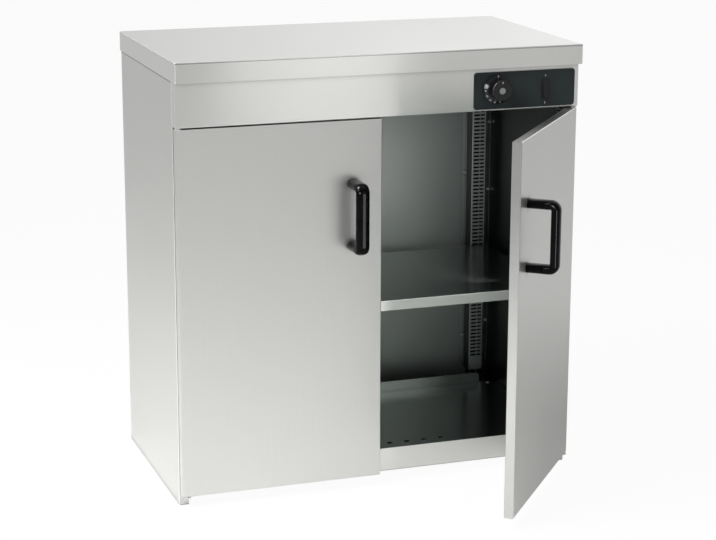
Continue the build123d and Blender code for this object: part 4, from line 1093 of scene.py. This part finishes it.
def studio_world():
    """Soft surround: an even fill on the cabinet, white to the camera, grey to a gloss and brighter
    to it behind the cabinet, most of all at the right."""
    world = bpy.data.worlds.new("studio surround")
    world.use_nodes = True
    bpy.context.scene.world = world
    tree = world.node_tree
    tree.nodes.clear()
    path = add(tree, "ShaderNodeLightPath")
    seen = maths(tree, "MAXIMUM", path.outputs["Is Camera Ray"], path.outputs["Is Glossy Ray"])
    seen = maths(tree, "MAXIMUM", seen, path.outputs["Is Transmission Ray"])
    direction = add(tree, "ShaderNodeSeparateXYZ")
    tree.links.new(add(tree, "ShaderNodeTexCoord").outputs["Generated"], direction.inputs[0])
    rightwards = ranged(tree, direction.outputs["X"], 0.62, 1.36, 0.1, 0.5)
    backwards = ranged(tree, direction.outputs["Y"], 0.0, 1.0, -0.25, 0.45)
    behind = maths(tree, "MULTIPLY", rightwards, backwards)
    shown = maths(tree, "MAXIMUM", behind, SURROUND_GLOSS)
    shown = maths(tree, "MAXIMUM", shown, path.outputs["Is Camera Ray"])
    light = add(tree, "ShaderNodeBackground")
    light.inputs["Color"].default_value = (1, 1, 1, 1)
    strength = add(tree, "ShaderNodeMix", data_type="FLOAT")
    tree.links.new(seen, strength.inputs["Factor"])
    for socket, value in zip(strength.inputs[MIX_NUMBERS], (SURROUND_FILL, shown)):
        put(tree, value, socket)
    tree.links.new(strength.outputs[0], light.inputs["Strength"])
    tree.links.new(light.outputs[0], add(tree, "ShaderNodeOutputWorld").inputs["Surface"])


def soft_lamp(name, place, target, size, power, spread=180, only=()):
    """A soft rectangular lamp that faces a target, with its beam's spread in degrees. Given some
    pieces, it shows only as a glint in them."""
    data = bpy.data.lights.new(name, "AREA")
    data.spread = radians(spread)
    data.shape = "RECTANGLE"
    data.size, data.size_y = size
    data.energy = power
    lamp = bpy.data.objects.new(name, data)
    lamp.visible_diffuse = not only
    if only:
        lit = bpy.data.collections.new(name + " pieces")
        for piece in only:
            lit.objects.link(piece)
        lamp.light_linking.receiver_collection = lit
        lamp.visible_camera = False
    aim = (Vector(target) - Vector(place)).to_track_quat("-Z", "Y")
    lamp.matrix_world = Matrix.Translation(place) @ aim.to_matrix().to_4x4()
    bpy.context.scene.collection.objects.link(lamp)


def glints():
    """Small highlights in the black glossy pieces, brighter in the handles, and a pale streak down
    each handle."""
    for name, (pieces, share) in GLINTS.items():
        lit = [bpy.data.objects[piece] for piece in pieces]
        left, high = name + " left glint", name + " high glint"
        soft_lamp(left, (-1.17, -2.5, 1.0), (0.1, -0.45, 0.75), (0.7, 0.7), 14 * share, only=lit)
        soft_lamp(high, (-0.8, -0.3, 2.1), (0.06, -0.45, 0.5), (0.6, 0.6), 32 * share, only=lit)
    for name, (place, power) in STREAKS.items():
        grip = bpy.data.objects[name]
        corners = [grip.matrix_world @ Vector(corner) for corner in grip.bound_box]
        middle = sum(corners, Vector()) / len(corners)
        soft_lamp(name + " streak", place, middle, (0.34, 0.55), power, only=[grip])


# The camera: lens in millimetres, place, and its turn to the right, tip down and roll in degrees
LENS, SENSOR = 100.7, 36.0
CAMERA_PLACE = (-1.253, -3.897, 1.381)
TURN_RIGHT, TIP_DOWN, ROLL = 19.15, 14.4, 0.184


def studio_camera():
    """Camera at chest height, left of the cabinet, turned to it and tipped down."""
    data = bpy.data.cameras.new("camera")
    data.sensor_width = SENSOR
    data.lens = LENS
    camera = bpy.data.objects.new("camera", data)
    aim = Matrix()
    for degrees, axis in ((-TURN_RIGHT, "Z"), (90 - TIP_DOWN, "X"), (ROLL, "Z")):
        aim = aim @ Matrix.Rotation(radians(degrees), 4, axis)
    camera.matrix_world = Matrix.Translation(CAMERA_PLACE) @ aim
    bpy.context.scene.collection.objects.link(camera)
    bpy.context.scene.camera = camera


studio_floor()
studio_world()
soft_lamp("key", (-1.9, -0.9, 2.2), (-0.6, -0.45, 0.1), (1.8, 1.8), 42, 120)
soft_lamp("top", (0.0, -0.4, 2.9), (0.0, -0.4, 0), (2.0, 2.0), 10)
soft_lamp("front strip", (1.12, -4.4, 1.4), (0, -0.4, 0.7), (0.72, 1.8), 4.9)
soft_lamp("right fill", (1.6, -4.3, 1.4), (0, -0.4, 0.7), (1.2, 1.8), 2.0)
glints()
soft_lamp("inside fill", (0.26, -0.33, 0.45), (0.26, 0.0, 0.47), (0.06, 0.3), 0.085)
studio_camera()
bpy.context.scene.view_settings.view_transform = "Standard"
